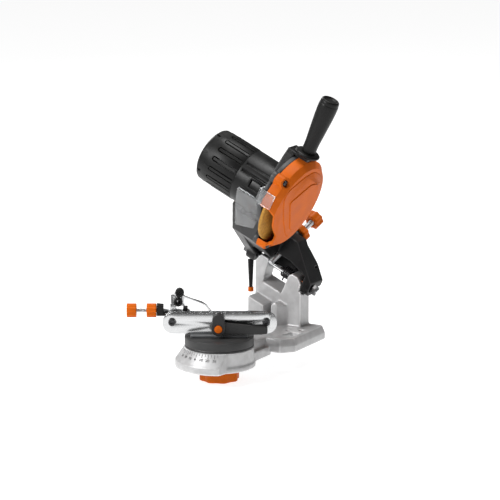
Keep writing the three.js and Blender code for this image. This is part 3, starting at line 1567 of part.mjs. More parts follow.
function stopCarriage() {
  const y = STOP_SCREW_BEHIND;
  const front = JAW_GAP / 2 + JAW_THICKNESS + GAP;
  const low = STOP_SCREW_HEIGHT - STOP_SCREW_RADIUS - 0.3;
  const top = STOP_SCREW_HEIGHT + CARRIAGE_NUT_ABOVE;
  const nut = block(CARRIAGE_LEFT, CARRIAGE_LEFT + CARRIAGE_NUT_LENGTH, front + 1, y + 6, low, top);
  const plateLeft = CARRIAGE_LEFT + 1;
  const plate = block(
    plateLeft,
    plateLeft + CARRIAGE_PLATE_LENGTH,
    y - 4,
    y - 4 + CARRIAGE_PLATE_THICKNESS,
    top - 1,
    PAWL_PIVOT_HEIGHT + 5,
  );
  const hole = postAlongX(
    STOP_SCREW_RADIUS + RUNNING_GAP,
    STOP_HOLDER_LEFT,
    0,
    y,
    STOP_SCREW_HEIGHT,
  );
  const pinFront = PAWL_FRONT - 4.4;
  const pin = postAlongY(PAWL_PIN_RADIUS, pinFront, y - 2, PAWL_PIVOT_AT, PAWL_PIVOT_HEIGHT);
  return cut(join(nut, plate, pin), hole);
}

function stopScrew() {
  return postAlongX(
    STOP_SCREW_RADIUS,
    STOP_KNOB_LEFT + 2,
    STOP_HOLDER_RIGHT + 3,
    STOP_SCREW_BEHIND,
    STOP_SCREW_HEIGHT,
    16,
  );
}

function endKnob(radius, length, bore, x0, y, z) {
  return knob(radius, length, 12, 1, bore).rotateY(Math.PI / 2).translate(x0, y, z);
}

// A flat bar with a bent nose, drawn round its pivot.
function pawl() {
  const y0 = PAWL_FRONT;
  const y1 = PAWL_FRONT + PAWL_THICKNESS;
  const bar = wallAlongY(
    [
      [-4, 6.5],
      [5, 5],
      [18, 0.8],
      [30, -3.4],
      [35, -6.8],
      [41.8, -14.4],
      [43.6, -13.4],
      [37, -5],
      [31, -1.2],
      [17, 3.2],
      [6, 7.6],
      [4, 17],
      [-1, 17],
      [-6, 9],
    ],
    y0,
    y1,
  );
  const eye = postAlongY(PAWL_PIN_RADIUS + 3.5, y0, y1);
  const hole = postAlongY(PAWL_PIN_RADIUS + RUNNING_GAP, y0 - 1, y1 + 1);
  return cut(join(bar, eye), hole).translate(PAWL_PIVOT_AT, 0, PAWL_PIVOT_HEIGHT);
}

function pawlKnob(x, z, bore) {
  const back = PAWL_FRONT - GAP;
  const front = back - PAWL_KNOB_LENGTH;
  const body = postAlongY(PAWL_KNOB_RADIUS, front, back, x, z);
  if (!bore) return body;
  return cut(body, postAlongY(bore, front + 1.5, back + 1, x, z));
}

// Turntable clamp

function turnKnob() {
  const edge = lobed(TURN_KNOB_RADIUS, TURN_KNOB_LOBES, 2.4, 6);
  const low = TURN_KNOB_TOP - TURN_KNOB_HEIGHT;
  const body = loft([
    [scaled(edge, 0.9), low],
    [scaled(edge, 0.985), low + 2],
    [edge, TURN_KNOB_TOP - 1],
    [scaled(edge, 0.97), TURN_KNOB_TOP],
  ]);
  return cut(body, post(PIVOT_RADIUS + RUNNING_GAP, low + 4, TURN_KNOB_TOP + 1));
}

function pivotBolt() {
  const low = TURN_KNOB_TOP - TURN_KNOB_HEIGHT + 4.5;
  const seat = footHeight();
  const pin = post(PIVOT_RADIUS, low, seat + 1);
  const head = post(PIVOT_HEAD_RADIUS, seat, seat + PIVOT_HEAD_HEIGHT, 32);
  return join(pin, head);
}

// Materials

function material(color, roughness, metalness) {
  return new THREE.MeshStandardMaterial({ color, roughness, metalness });
}

const castAluminium = material(0xc4c6c8, 0.5, 0.7);
const darkCasting = material(0x2b2b2d, 0.45, 0.2);
const blackPlastic = material(0x2a2a2c, 0.45, 0);
const orangePlastic = material(0xd2651c, 0.4, 0);
const polishedSteel = material(0xd8dadc, 0.2, 1);
const chrome = material(0xe4e6e8, 0.1, 1);
const steel = material(0x9a9c9e, 0.35, 1);
const darkSteel = material(0x3a3a3c, 0.4, 0.9);
const copper = material(0xb36a3a, 0.35, 1);
const carbon = material(0x202022, 0.8, 0);
const grindingStone = material(0xb07d28, 0.85, 0);
const clearSheet = material(0xe6eaec, 0.08, 0);
const greyCasting = material(0x77797c, 0.5, 0.6);

// Assembly

const sharpener = new THREE.Group();
const machine = new THREE.Group();
machine.position.y = -SPINDLE_TO_BENCH_CENTRE;
sharpener.add(machine);

function add(parent, name, geometry, look) {
  const mesh = new THREE.Mesh(geometry, look);
  mesh.name = name;
  parent.add(mesh);
  return mesh;
}

add(machine, "base_casting", baseCasting(), castAluminium);
add(machine, "pivot_bolt", pivotBolt(), steel);
add(machine, "turntable_knob", turnKnob(), orangePlastic);
const washer = cut(
  post(PIVOT_RADIUS + 6, TURN_KNOB_TOP + GAP, TURN_KNOB_TOP + GAP + WASHER_THICKNESS),
  post(PIVOT_RADIUS + GAP, TURN_KNOB_TOP, BOSS_BOTTOM),
);
add(machine, "turntable_washer", washer, steel);

const hinge = new THREE.Group();
hinge.position.set(HINGE_X, HINGE_Y, HINGE_HEIGHT);
hinge.rotation.y = HEAD_TILT;
machine.add(hinge);
add(hinge, "hinge_rod", postAlongX(ROD_RADIUS, ROD_LEFT, ROD_RIGHT), chrome);
const nutLeft = ARM_LEG_LEFT - ARM_LEG_WIDTH - GAP - ROD_NUT_HEIGHT;
const nutRight = ARM_LEG_RIGHT + ARM_LEG_WIDTH + GAP;
add(hinge, "hinge_nut_left", rodNut().translate(nutLeft, 0, 0), steel);
add(hinge, "hinge_nut_right", rodNut().translate(nutRight, 0, 0), steel);
add(hinge, "return_spring", returnSpring(), darkSteel);

add(hinge, "swing_arm", swingArm(), darkCasting);

const depthScrew = depthAxis(post(DEPTH_SCREW_RADIUS, 0, DEPTH_SCREW_LENGTH));
add(hinge, "depth_screw", depthScrew, chrome);
const depthKnobStart = DEPTH_SCREW_LENGTH - 1;
const depthKnob = knob(DEPTH_KNOB_RADIUS, DEPTH_KNOB_THICKNESS, 10, 1.4, DEPTH_SCREW_RADIUS + GAP);
add(hinge, "depth_knob", depthAxis(depthKnob.translate(0, 0, depthKnobStart - 4)), orangePlastic);
const lockKnob = knob(LOCK_KNOB_RADIUS, LOCK_KNOB_THICKNESS, 10, 1.4, DEPTH_SCREW_RADIUS + RUNNING_GAP);
add(hinge, "depth_lock_knob", depthAxis(lockKnob.translate(0, 0, DEPTH_LUG_END + GAP)), orangePlastic);

const lead = new THREE.Group();
lead.position.set(ARM_LEG_LEFT - ARM_LEG_WIDTH / 2, 0, -ARM_LEG_ROUND - 2);
lead.rotation.y = -HEAD_TILT;
hinge.add(lead);
const protector = turned([
  [0, -LEAD_LENGTH],
  [LEAD_TIP_RADIUS, -LEAD_LENGTH],
  [LEAD_TOP_RADIUS, 0],
  [0, 0],
], 16);
add(lead, "lead_protector", protector, blackPlastic);
const leadCollar = cut(
  post(LEAD_COLLAR_RADIUS, -LEAD_LENGTH, -LEAD_LENGTH + LEAD_COLLAR_LENGTH, 16),
  turned([
    [0, -LEAD_LENGTH - 1],
    [LEAD_TIP_RADIUS + GAP - 0.07, -LEAD_LENGTH - 1],
    [LEAD_TOP_RADIUS + GAP, 0],
    [0, 0],
  ], 16),
);
add(lead, "lead_collar", leadCollar, orangePlastic);

const wheelFrame = new THREE.Group();
wheelFrame.position.set(0, WHEEL_BEHIND, WHEEL_ABOVE);
hinge.add(wheelFrame);
add(wheelFrame, "guard_backplate", backplate(), darkCasting);
add(wheelFrame, "wheel_cover", wheelCover(), orangePlastic);
COVER_SCREW_ANGLES.forEach((angle, i) => {
  add(wheelFrame, "cover_screw_" + (i + 1), coverScrew(angle), steel);
});
add(wheelFrame, "visor", visor(), clearSheet);
add(wheelFrame, "motor_front_housing", frontHousing(), blackPlastic);
add(wheelFrame, "motor_rear_cap", rearCap(), blackPlastic);
add(wheelFrame, "stator_core", stator(), steel);
add(wheelFrame, "field_coil_upper", fieldCoil(0), copper);
add(wheelFrame, "field_coil_lower", fieldCoil(180), copper);
add(wheelFrame, "brush_holder_front", brushHolder(-1), carbon);
add(wheelFrame, "brush_holder_back", brushHolder(1), carbon);
add(wheelFrame, "bearing_front", bearing(FRONT_BEARING - BEARING_WIDTH), steel);
add(wheelFrame, "bearing_rear", bearing(REAR_BEARING), steel);
add(wheelFrame, "switch_body", switchBody(), blackPlastic);
add(wheelFrame, "switch_rocker", rocker(), blackPlastic);
add(wheelFrame, "handle_bracket", handleBracket(), darkCasting);
add(wheelFrame, "handle_collar", gripCollar(), blackPlastic);
add(wheelFrame, "handle_grip", grip(), blackPlastic);

const half = WHEEL_THICKNESS / 2;
add(wheelFrame, "motor_shaft", shaft(), steel);
add(wheelFrame, "armature", armature(), darkSteel);
const commutator = ringOnShaft(COMMUTATOR_RADIUS, COMMUTATOR_FRONT - COMMUTATOR_LENGTH, COMMUTATOR_FRONT);
add(wheelFrame, "commutator", commutator, copper);
add(wheelFrame, "cooling_fan", fan(), blackPlastic);
const innerFlange = ringOnShaft(FLANGE_RADIUS, -half - GAP - FLANGE_THICKNESS, -half - GAP);
add(wheelFrame, "wheel_flange_inner", innerFlange, steel);
add(wheelFrame, "grinding_wheel", wheel(), grindingStone);
const outerFlange = ringOnShaft(FLANGE_RADIUS, half + GAP, half + GAP + FLANGE_THICKNESS);
add(wheelFrame, "wheel_flange_outer", outerFlange, steel);
const nutStart = half + 2 * GAP + FLANGE_THICKNESS;
const wheelNut = cut(
  slab(hexagon(15), nutStart, nutStart + 5).rotateY(Math.PI / 2),
  postAlongX(SHAFT_RADIUS + GAP / 2, nutStart - 1, nutStart + 6),
);
add(wheelFrame, "wheel_nut", wheelNut, steel);

const vice = new THREE.Group();
vice.rotation.z = VICE_TURN;
machine.add(vice);
const rearJawFront = JAW_GAP / 2;
add(vice, "turntable_disc", turntableDisc(), blackPlastic);
add(vice, "vice_foot", viceFoot(), greyCasting);
add(vice, "rear_jaw", jaw(rearJawFront), polishedSteel);
add(vice, "front_jaw", jaw(-rearJawFront - JAW_THICKNESS), polishedSteel);
add(vice, "guide_bolt_left", guideBolt(-GUIDE_BOLT_AT, STOP_TAB_THICKNESS + GAP), darkSteel);
add(vice, "guide_bolt_right", guideBolt(GUIDE_BOLT_AT, 0), darkSteel);
add(vice, "clamp_bolt", clampBolt(), steel);
add(vice, "spread_spring", spreadSpring(), steel);
add(vice, "clamp_lever", clampLever(), blackPlastic);
add(vice, "clamp_lever_cap", leverCap(), orangePlastic);
add(vice, "stop_holder", stopHolder(), blackPlastic);
add(vice, "stop_carriage", stopCarriage(), polishedSteel);
add(vice, "stop_screw", stopScrew(), chrome);
const screwBore = STOP_SCREW_RADIUS + GAP;
add(
  vice,
  "stop_screw_knob",
  endKnob(STOP_KNOB_RADIUS, STOP_KNOB_LENGTH, screwBore, STOP_KNOB_LEFT, STOP_SCREW_BEHIND, STOP_SCREW_HEIGHT),
  orangePlastic,
);
add(
  vice,
  "stop_lock_knob",
  endKnob(STOP_KNOB_RADIUS, STOP_LOCK_LENGTH, screwBore, STOP_LOCK_LEFT, STOP_SCREW_BEHIND, STOP_SCREW_HEIGHT),
  orangePlastic,
);
add(vice, "pawl", pawl(), polishedSteel);
add(vice, "pawl_knob_upper", pawlKnob(PAWL_KNOB_AT, PAWL_KNOB_HEIGHT, 0), blackPlastic);
const pawlPinBore = PAWL_PIN_RADIUS + GAP;
add(vice, "pawl_knob_lower", pawlKnob(PAWL_PIVOT_AT, PAWL_PIVOT_HEIGHT, pawlPinBore), blackPlastic);

export default sharpener;
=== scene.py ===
"""Electric chainsaw sharpener: a cast bench base, a turning vice, and a sprung head that carries
a motor and a thin grinding wheel. Metres, +Z up from the bench, -Y to the front."""
import math

import bmesh
import bpy
from mathutils import Matrix, Vector


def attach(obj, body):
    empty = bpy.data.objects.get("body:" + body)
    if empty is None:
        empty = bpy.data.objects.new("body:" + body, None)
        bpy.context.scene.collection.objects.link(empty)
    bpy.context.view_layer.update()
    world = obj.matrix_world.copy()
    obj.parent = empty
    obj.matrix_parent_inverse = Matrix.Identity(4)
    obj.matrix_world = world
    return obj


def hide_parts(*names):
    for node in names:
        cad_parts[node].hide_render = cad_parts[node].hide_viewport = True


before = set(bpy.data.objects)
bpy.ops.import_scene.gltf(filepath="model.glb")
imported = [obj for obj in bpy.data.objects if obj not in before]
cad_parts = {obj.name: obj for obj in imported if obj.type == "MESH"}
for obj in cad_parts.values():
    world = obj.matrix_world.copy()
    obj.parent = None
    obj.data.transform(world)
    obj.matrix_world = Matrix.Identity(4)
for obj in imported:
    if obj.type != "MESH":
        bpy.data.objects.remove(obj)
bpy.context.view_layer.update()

# Camera: a long lens well back from the machine, in front of it to the right and a little
# above. It looks at a point between the vice and the wheel.
CAMERA_LENS = 200
CAMERA_DISTANCE = 3.695
CAMERA_REACH = 60
looking_at = Vector((0.0183, -0.070, 0.1412))
view_right = Vector((0.8657, 0.4997, 0.0)).normalized()
view_back = Vector((0.488, -0.8455, 0.2164)).normalized()
view_up = view_back.cross(view_right)
camera = bpy.data.objects.new("camera", bpy.data.cameras.new("camera"))
camera.data.lens = CAMERA_LENS
camera.data.sensor_width = 36
camera.data.clip_end = CAMERA_REACH
camera.matrix_world = Matrix.Translation(looking_at + view_back * CAMERA_DISTANCE) @ Matrix(
    (view_right, view_up, view_back)
).transposed().to_4x4()
bpy.context.scene.collection.objects.link(camera)
bpy.context.scene.camera = camera

# Studio floor and light: a wide pale floor just under the clamp knob, a soft box at the front
# left, a smaller one at the back left and one overhead.
FLOOR_HEIGHT = -0.0281
FLOOR_HALF_WIDTH = 20
LIGHTS_AIM = Vector((0, -0.05, 0.12))


def put(tree, kind, inputs=None, **settings):
    """A shader node with its settings, its plain inputs and its links."""
    node = tree.nodes.new("ShaderNode" + kind)
    for name, value in settings.items():
        setattr(node, name, value)
    for key, value in (inputs or {}).items():
        if isinstance(value, bpy.types.NodeSocket):
            tree.links.new(value, node.inputs[key])
        else:
            node.inputs[key].default_value = value
    return node


def link_new(name, data):
    """A new object in the scene."""
    thing = bpy.data.objects.new(name, data)
    bpy.context.scene.collection.objects.link(thing)
    return thing


floor_form = bmesh.new()
bmesh.ops.create_grid(floor_form, x_segments=2, y_segments=2, size=FLOOR_HALF_WIDTH)
bmesh.ops.translate(floor_form, vec=(0, 0, FLOOR_HEIGHT), verts=floor_form.verts)
floor = link_new("studio_floor", bpy.data.meshes.new("studio_floor"))
floor_form.to_mesh(floor.data)
floor_form.free()
floor_paint = bpy.data.materials.new("pale floor")
floor_paint.use_nodes = True
floor_shader = floor_paint.node_tree.nodes["Principled BSDF"]
floor_shader.inputs["Base Color"].default_value = (0.40, 0.40, 0.40, 1)
floor_shader.inputs["Roughness"].default_value = 0.9
floor_shader.inputs["Emission Color"].default_value = (1, 1, 1, 1)
floor_shader.inputs["Emission Strength"].default_value = 0.86
floor.data.materials.append(floor_paint)


def soft_box(name, place, size, power):
    """A square area light that faces the machine."""
    lamp = bpy.data.lights.new(name, "AREA")
    lamp.size = size
    lamp.energy = power
    box = link_new(name, lamp)
    aim = (Vector(place) - LIGHTS_AIM).to_track_quat("Z", "Y").to_matrix().to_4x4()
    box.matrix_world = Matrix.Translation(place) @ aim


soft_box("key light", (-1.1, -1.9, 1.5), 0.9, 54)
soft_box("rim light", (-1.6, 0.9, 1.3), 0.7, 14)
soft_box("top light", (0.1, 0.2, 2.3), 1.0, 34)
world = bpy.data.worlds.new("studio")
bpy.context.scene.world = world
world.use_nodes = True
world.node_tree.nodes["Background"].inputs["Color"].default_value = (1, 1, 1, 1)
world.node_tree.nodes["Background"].inputs["Strength"].default_value = 0.14
bpy.context.scene.view_settings.view_transform = "Standard"

# Base casting: one piece of sand-cast aluminium with a dial boss, a neck, a hollow plate and
# the hinge column, left as cast on its faces and rounded at every edge by the mould.
MM = 0.001
DUST_TONE = (0.55, 0.53, 0.50, 1)
SHARP_ANGLE = math.radians(34)  # edges that turn by more are shaded sharp


def shift(x, y, z):
    """A move, in millimetres."""
    return Matrix.Translation((x * MM, y * MM, z * MM))


machine = shift(0, -120, 0)


def shader_group(name, inputs, outputs):
    """An empty node group with named inputs and outputs."""
    tree = bpy.data.node_groups.new(name, "ShaderNodeTree")
    for label, kind, value in inputs:
        socket = tree.interface.new_socket(label, in_out="INPUT", socket_type="NodeSocket" + kind)
        socket.default_value = value
    for label, kind in outputs:
        tree.interface.new_socket(label, in_out="OUTPUT", socket_type="NodeSocket" + kind)
    return tree, tree.nodes.new("NodeGroupInput").outputs, tree.nodes.new("NodeGroupOutput").inputs


def send(tree, targets, **values):
    """Links sockets to a group's outputs by name."""
    for label, socket in values.items():
        tree.links.new(socket, targets[label])


def product(tree, first, second):
    """Two values or sockets, multiplied."""
    return put(tree, "Math", {0: first, 1: second}, operation="MULTIPLY").outputs["Value"]


def spread(tree, value, low, high):
    """A socket's stretch from low to high, as 0 to 1."""
    return put(tree, "MapRange", {"Value": value, "From Min": low, "From Max": high}).outputs["Result"]


# Grain of a skin: fine grit for the height, and broad uneven patches for the tone.
grain_tree, given, out = shader_group(
    "surface grain",
    [("Scale", "Float", 900.0), ("Stretch", "Vector", (1, 1, 1)), ("Patch", "Float", 60.0)],
    [("Height", "Float"), ("Tone", "Float")],
)
place = put(grain_tree, "TexCoord").outputs["Object"]
drawn = put(grain_tree, "Mapping", {"Vector": place, "Scale": given["Stretch"]}).outputs["Vector"]
grit = put(
    grain_tree, "TexNoise",
    {"Vector": drawn, "Scale": given["Scale"], "Detail": 4.0, "Roughness": 0.6},
).outputs["Fac"]
patch = put(
    grain_tree, "TexNoise",
    {"Vector": drawn, "Scale": given["Patch"], "Detail": 5.0, "Roughness": 0.55},
).outputs["Fac"]
send(grain_tree, out, Height=grit, Tone=spread(grain_tree, patch, 0.3, 0.7))

# Edge wear: where the rounded normal leaves the plain one, broken up by a noise.
wear_tree, given, out = shader_group(
    "edge wear",
    [("Radius", "Float", 0.0006), ("Breakup", "Float", 220.0)],
    [("Edge", "Float"), ("Rounded", "Vector")],
)
rounded = put(wear_tree, "Bevel", {"Radius": given["Radius"]}, samples=4).outputs["Normal"]
facing = put(wear_tree, "NewGeometry").outputs["Normal"]
agree = put(wear_tree, "VectorMath", {0: rounded, 1: facing}, operation="DOT_PRODUCT").outputs["Value"]
place = put(wear_tree, "TexCoord").outputs["Object"]
chips = put(
    wear_tree, "TexNoise", {"Vector": place, "Scale": given["Breakup"], "Detail": 3.0}
).outputs["Fac"]
worn = product(wear_tree, spread(wear_tree, agree, 0.985, 0.80), spread(wear_tree, chips, 0.36, 0.62))
send(wear_tree, out, Edge=worn, Rounded=rounded)

# Crest: where the skin itself is convex, as on the rounded edges of a casting.
crest_tree, given, out = shader_group("cast crest", [("Full", "Float", 0.56)], [("Crest", "Float")])
bulge = put(crest_tree, "NewGeometry").outputs["Pointiness"]
send(crest_tree, out, Crest=spread(crest_tree, bulge, 0.512, given["Full"]))

# Settled dust: a thin film on what faces up, thicker in patches.
dust_tree, given, out = shader_group(
    "settled dust", [("Patch", "Float", 45.0)], [("Dust", "Float")]
)
coords = put(dust_tree, "TexCoord").outputs
up = put(dust_tree, "SeparateXYZ", {0: coords["Normal"]}).outputs["Z"]
clouds = put(
    dust_tree, "TexNoise", {"Vector": coords["Object"], "Scale": given["Patch"], "Detail": 4.0}
).outputs["Fac"]
settled = product(dust_tree, spread(dust_tree, up, 0.35, 1.0), spread(dust_tree, clouds, 0.4, 0.7))
send(dust_tree, out, Dust=settled)


def group_in(tree, shared_tree, inputs):
    """A shared group placed in a material, with the values it has there."""
    node = tree.nodes.new("ShaderNodeGroup")
    node.node_tree = shared_tree
    for key, value in inputs.items():
        node.inputs[key].default_value = value
    return node.outputs


def blended(tree, share, first, second):
    """A colour mix, with plain colours or sockets."""
    return put(tree, "Mix", {0: share, 6: first, 7: second}, data_type="RGBA").outputs[2]


def finish_of(
    name, dark, light, worn, roughness, metallic=0.0,
    scale=900.0, stretch=(1, 1, 1), patch=60.0, bump=0.00008,
    radius=0.0006, wear=0.5, dust=0.15, gleam=0.5, crest=0.0,
):
    """A surface: two tones in patches, grain in its height, worn edges and a little dust."""
    made = bpy.data.materials.new(name)
    made.use_nodes = True
    tree = made.node_tree
    shader = tree.nodes["Principled BSDF"]
    grain = group_in(tree, grain_tree, {"Scale": scale, "Stretch": stretch, "Patch": patch})
    rub = group_in(tree, wear_tree, {"Radius": radius})
    fall = group_in(tree, dust_tree, {})
    rubbed = product(tree, rub["Edge"], wear)
    if crest:
        ridge = product(tree, group_in(tree, crest_tree, {})["Crest"], crest)
        rubbed = put(tree, "Math", {0: rubbed, 1: ridge}, operation="MAXIMUM").outputs["Value"]
    dusty = product(tree, fall["Dust"], dust)
    tone = blended(tree, grain["Tone"], (*dark, 1), (*light, 1))
    tone = blended(tree, rubbed, tone, (*worn, 1))
    tone = blended(tree, dusty, tone, DUST_TONE)
    tree.links.new(tone, shader.inputs["Base Color"])
    gloss = put(
        tree, "MapRange",
        {"Value": grain["Tone"], "To Min": roughness - 0.05, "To Max": roughness + 0.06},
    ).outputs["Result"]
    gloss = put(tree, "Math", {0: gloss, 1: dusty}, operation="ADD").outputs["Value"]
    tree.links.new(gloss, shader.inputs["Roughness"])
    shader.inputs["Metallic"].default_value = metallic
    shader.inputs["Specular IOR Level"].default_value = gleam
    raised = put(
        tree, "Bump",
        {"Strength": 0.7, "Distance": bump, "Height": grain["Height"], "Normal": rub["Rounded"]},
    ).outputs["Normal"]
    tree.links.new(raised, shader.inputs["Normal"])
    return made


cast_aluminium = finish_of(
    "cast aluminium", (0.44, 0.44, 0.442), (0.56, 0.56, 0.563), (0.97, 0.97, 0.97), 0.42,
    metallic=0.30, scale=1500.0, patch=90.0, bump=0.00010, radius=0.0013, wear=0.95, dust=0.04,
    crest=0.85,
)


def merged(node):
    """A bmesh of a CAD node's own shape, with its loose triangles joined into faces."""
    form = bmesh.new()
    form.from_mesh(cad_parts[node].data)
    bmesh.ops.remove_doubles(form, verts=form.verts, dist=2e-6)
    bmesh.ops.dissolve_limit(
        form, angle_limit=math.radians(0.6), verts=form.verts, edges=form.edges
    )
    return form


def held(form):
    """A passing object that holds a bmesh, for a modifier to work on."""
    thing = link_new("passing", bpy.data.meshes.new("passing"))
    form.to_mesh(thing.data)
    form.free()
    return thing


def released(thing):
    """The bmesh of a passing object as its modifiers leave it. The object is then removed."""
    shown = thing.evaluated_get(bpy.context.evaluated_depsgraph_get())
    form = bmesh.new()
    form.from_mesh(shown.to_mesh())
    shown.to_mesh_clear()
    bpy.data.objects.remove(thing)
    return form


def moulded(node, voxel, passes):
    """The node's shape with every edge rounded, as a mould leaves it; voxel in millimetres."""
    blank = held(merged(node))
    remesh = blank.modifiers.new("skin", "REMESH")
    remesh.mode = "VOXEL"
    remesh.voxel_size = voxel * MM
    form = released(blank)
    for _ in range(passes):
        bmesh.ops.smooth_vert(
            form, verts=form.verts, factor=0.5,
            use_axis_x=True, use_axis_y=True, use_axis_z=True,
        )
    return form


def laid(name, form, body, slot, look, *nodes):
    """A finished piece: its mesh, its look, the body that it rides on and what it stands for."""
    mesh = bpy.data.meshes.new(name)
    form.to_mesh(mesh)
    form.free()
    mesh.shade_smooth()
    mesh.set_sharp_from_angle(angle=SHARP_ANGLE)
    mesh.materials.append(look)
    piece = link_new(name, mesh)
    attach(piece, body)
    if nodes:
        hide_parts(*nodes)


def cast(name, node, voxel, passes, body, slot, look):
    """A cast or moulded piece that follows its CAD node."""
    laid(name, moulded(node, voxel, passes), body, slot, look, node)


cast("base", "base_casting", 1.15, 2, "base", "cast_aluminium", cast_aluminium)

# Degree scale: short raised lines cast on the dial's cone, every 5 degrees and longer at each
# tenth, where a plain raised number stands under the line.
CONE_TOP_RADIUS, CONE_TOP_HEIGHT = 46.5 * MM, 19 * MM
CONE_LOW_RADIUS, CONE_LOW_HEIGHT = 59 * MM, 3 * MM
ZERO_MARK = -97  # degrees round the dial from the machine's right
DEGREES_A_MARK = 5
MARKS_A_SIDE = 7
LONG_MARK, SHORT_MARK, MARK_WIDTH, MARK_HEIGHT = 5.4 * MM, 3.4 * MM, 0.8 * MM, 0.5 * MM
MARK_BELOW_TOP = 1.4 * MM
NUMBER_SIZE, NUMBER_HEIGHT = 5.2 * MM, 0.25 * MM
NUMBER_BELOW_TOP = 11.6 * MM
scale_mark = finish_of(
    "scale marks", (0.27, 0.27, 0.27), (0.36, 0.36, 0.36), (0.6, 0.6, 0.6), 0.5,
    scale=1500.0, wear=0.3, dust=0.05,
)


def rounded_off(form, edges, offset, segments):
    """Bevels the given edges."""
    bmesh.ops.bevel(
        form, geom=edges, offset=offset, offset_type="OFFSET", segments=segments,
        profile=0.5, affect="EDGES", clamp_overlap=True, material=-1,
    )


def eased(form, width, sharpest=28, segments=2):
    """Rounds every edge that turns by more than the given angle; width in millimetres."""
    turn = math.radians(sharpest)
    edges = [e for e in form.edges if e.is_manifold and e.calc_face_angle(0) > turn]
    rounded_off(form, edges, width * MM, segments)
    return form


def on_cone(step, below_top):
    """A mark's place on the cone: X across, Y up the slope and Z out of it."""
    turn = math.radians(ZERO_MARK) + math.radians(step * DEGREES_A_MARK)
    outwards = Vector((math.cos(turn), math.sin(turn), 0))
    low = outwards * CONE_LOW_RADIUS + Vector((0, 0, CONE_LOW_HEIGHT))
    high = outwards * CONE_TOP_RADIUS + Vector((0, 0, CONE_TOP_HEIGHT))
    slope = (high - low).normalized()
    across = Vector((-math.sin(turn), math.cos(turn), 0))
    axes = Matrix((across, slope, across.cross(slope))).transposed().to_4x4()
    return machine @ Matrix.Translation(high) @ axes @ Matrix.Translation((0, -below_top, 0))


marks = bmesh.new()
for step in range(-MARKS_A_SIDE, MARKS_A_SIDE + 1):
    tall = LONG_MARK if step % 2 == 0 else SHORT_MARK
    bar = bmesh.ops.create_cube(marks, size=1)["verts"]
    shape = Matrix.Diagonal((MARK_WIDTH, tall, MARK_HEIGHT, 1))
    bmesh.ops.transform(marks, matrix=on_cone(step, tall / 2 + MARK_BELOW_TOP) @ shape, verts=bar)
laid("scale_lines", eased(marks, 0.12), "base", "cast_aluminium", scale_mark)

for step in range(1 - MARKS_A_SIDE, MARKS_A_SIDE, 2):
    text = bpy.data.curves.new("scale_number", "FONT")
    text.body = str(abs(step * DEGREES_A_MARK))
    text.size = NUMBER_SIZE
    text.extrude = NUMBER_HEIGHT
    text.align_x = "CENTER"
    number = released(link_new("letters", text))
    bmesh.ops.transform(number, matrix=on_cone(step, NUMBER_BELOW_TOP), verts=number.verts)
    laid("scale_number_%d" % (step + MARKS_A_SIDE), number, "base", "cast_aluminium", scale_mark)

# Turntable clamp: a lobed knob moulded in orange plastic on the pivot bolt's end, with a
# pressed steel washer between it and the boss.
KNOB_STEPS_A_LOBE = 16
KNOB_RIM_ANGLE = 1.2  # radians, more than the waves of the outline turn by
DISH_BORDER = 0.22  # of the knob's radius
BORE_SIDES = 48
orange_plastic = finish_of(
    "orange plastic", (0.56, 0.105, 0.005), (0.66, 0.135, 0.008), (0.78, 0.24, 0.04), 0.46,
    scale=2200.0, patch=40.0, bump=0.00005, radius=0.0007, wear=0.75, dust=0.02, gleam=0.08,
)
zinc_steel = finish_of(
    "zinc plated steel", (0.42, 0.43, 0.44), (0.58, 0.59, 0.60), (0.8, 0.8, 0.8), 0.30,
    metallic=1.0, scale=2600.0, patch=200.0, bump=0.00003, radius=0.0004, wear=0.5, dust=0.05,
)


def pushed(form, faces, way):
    """Extrudes faces along a vector and returns the faces at the far end."""
    made = bmesh.ops.extrude_face_region(form, geom=faces)["geom"]
    far = [v for v in made if isinstance(v, bmesh.types.BMVert)]
    bmesh.ops.translate(form, vec=way, verts=far)
    return [f for f in made if isinstance(f, bmesh.types.BMFace)]


def boolean(form, tool, operation="DIFFERENCE"):
    """Cuts one bmesh with another, or joins the two."""
    body = held(form)
    cutter = held(tool)
    step = body.modifiers.new("cut", "BOOLEAN")
    step.operation = operation
    step.solver = "MANIFOLD"
    step.object = cutter
    result = released(body)
    bpy.data.objects.remove(cutter)
    return result


def bored(form, radius, low, high, place):
    """Cuts a round bore along the place's own Z."""
    drill = bmesh.new()
    bmesh.ops.create_cone(
        drill, cap_ends=True, segments=BORE_SIDES, radius1=radius, radius2=radius, depth=high - low
    )
    bmesh.ops.translate(drill, vec=(0, 0, (low + high) / 2), verts=drill.verts)
    bmesh.ops.transform(drill, matrix=place, verts=drill.verts)
    return boolean(form, drill)


def lobed_knob(radius, low, high, lobes, wave, rim, dish, bore, place):
    """A moulded knob, in millimetres: a waved outline, rounded rims, dished ends and a bore."""
    radius, low, high, wave, rim, dish, bore = (
        size * MM for size in (radius, low, high, wave, rim, dish, bore)
    )
    form = bmesh.new()
    bmesh.ops.create_circle(
        form, cap_ends=True, segments=lobes * KNOB_STEPS_A_LOBE, radius=radius
    )
    for vert in form.verts:
        turn = math.atan2(vert.co.y, vert.co.x)
        vert.co *= 1 - wave * (1 - math.cos(lobes * turn)) / (2 * radius)
        vert.co.z = low
    pushed(form, form.faces[:], (0, 0, high - low))
    bmesh.ops.recalc_face_normals(form, faces=form.faces)
    rounded_off(form, [e for e in form.edges if e.calc_face_angle(0) > KNOB_RIM_ANGLE], rim, 3)
    for side in (1, -1):
        ends = [f for f in form.faces if f.normal.z * side > 0.99 and len(f.verts) > 20]
        end = max(ends, key=lambda face: face.calc_area())
        bmesh.ops.inset_region(form, faces=[end], thickness=radius * DISH_BORDER, depth=0)
        bmesh.ops.inset_region(form, faces=[end], thickness=dish * 0.6, depth=-dish)
    bmesh.ops.transform(form, matrix=place, verts=form.verts)
    if bore:
        form = bored(form, bore, low - 2 * MM, high + 2 * MM, place)
    return form


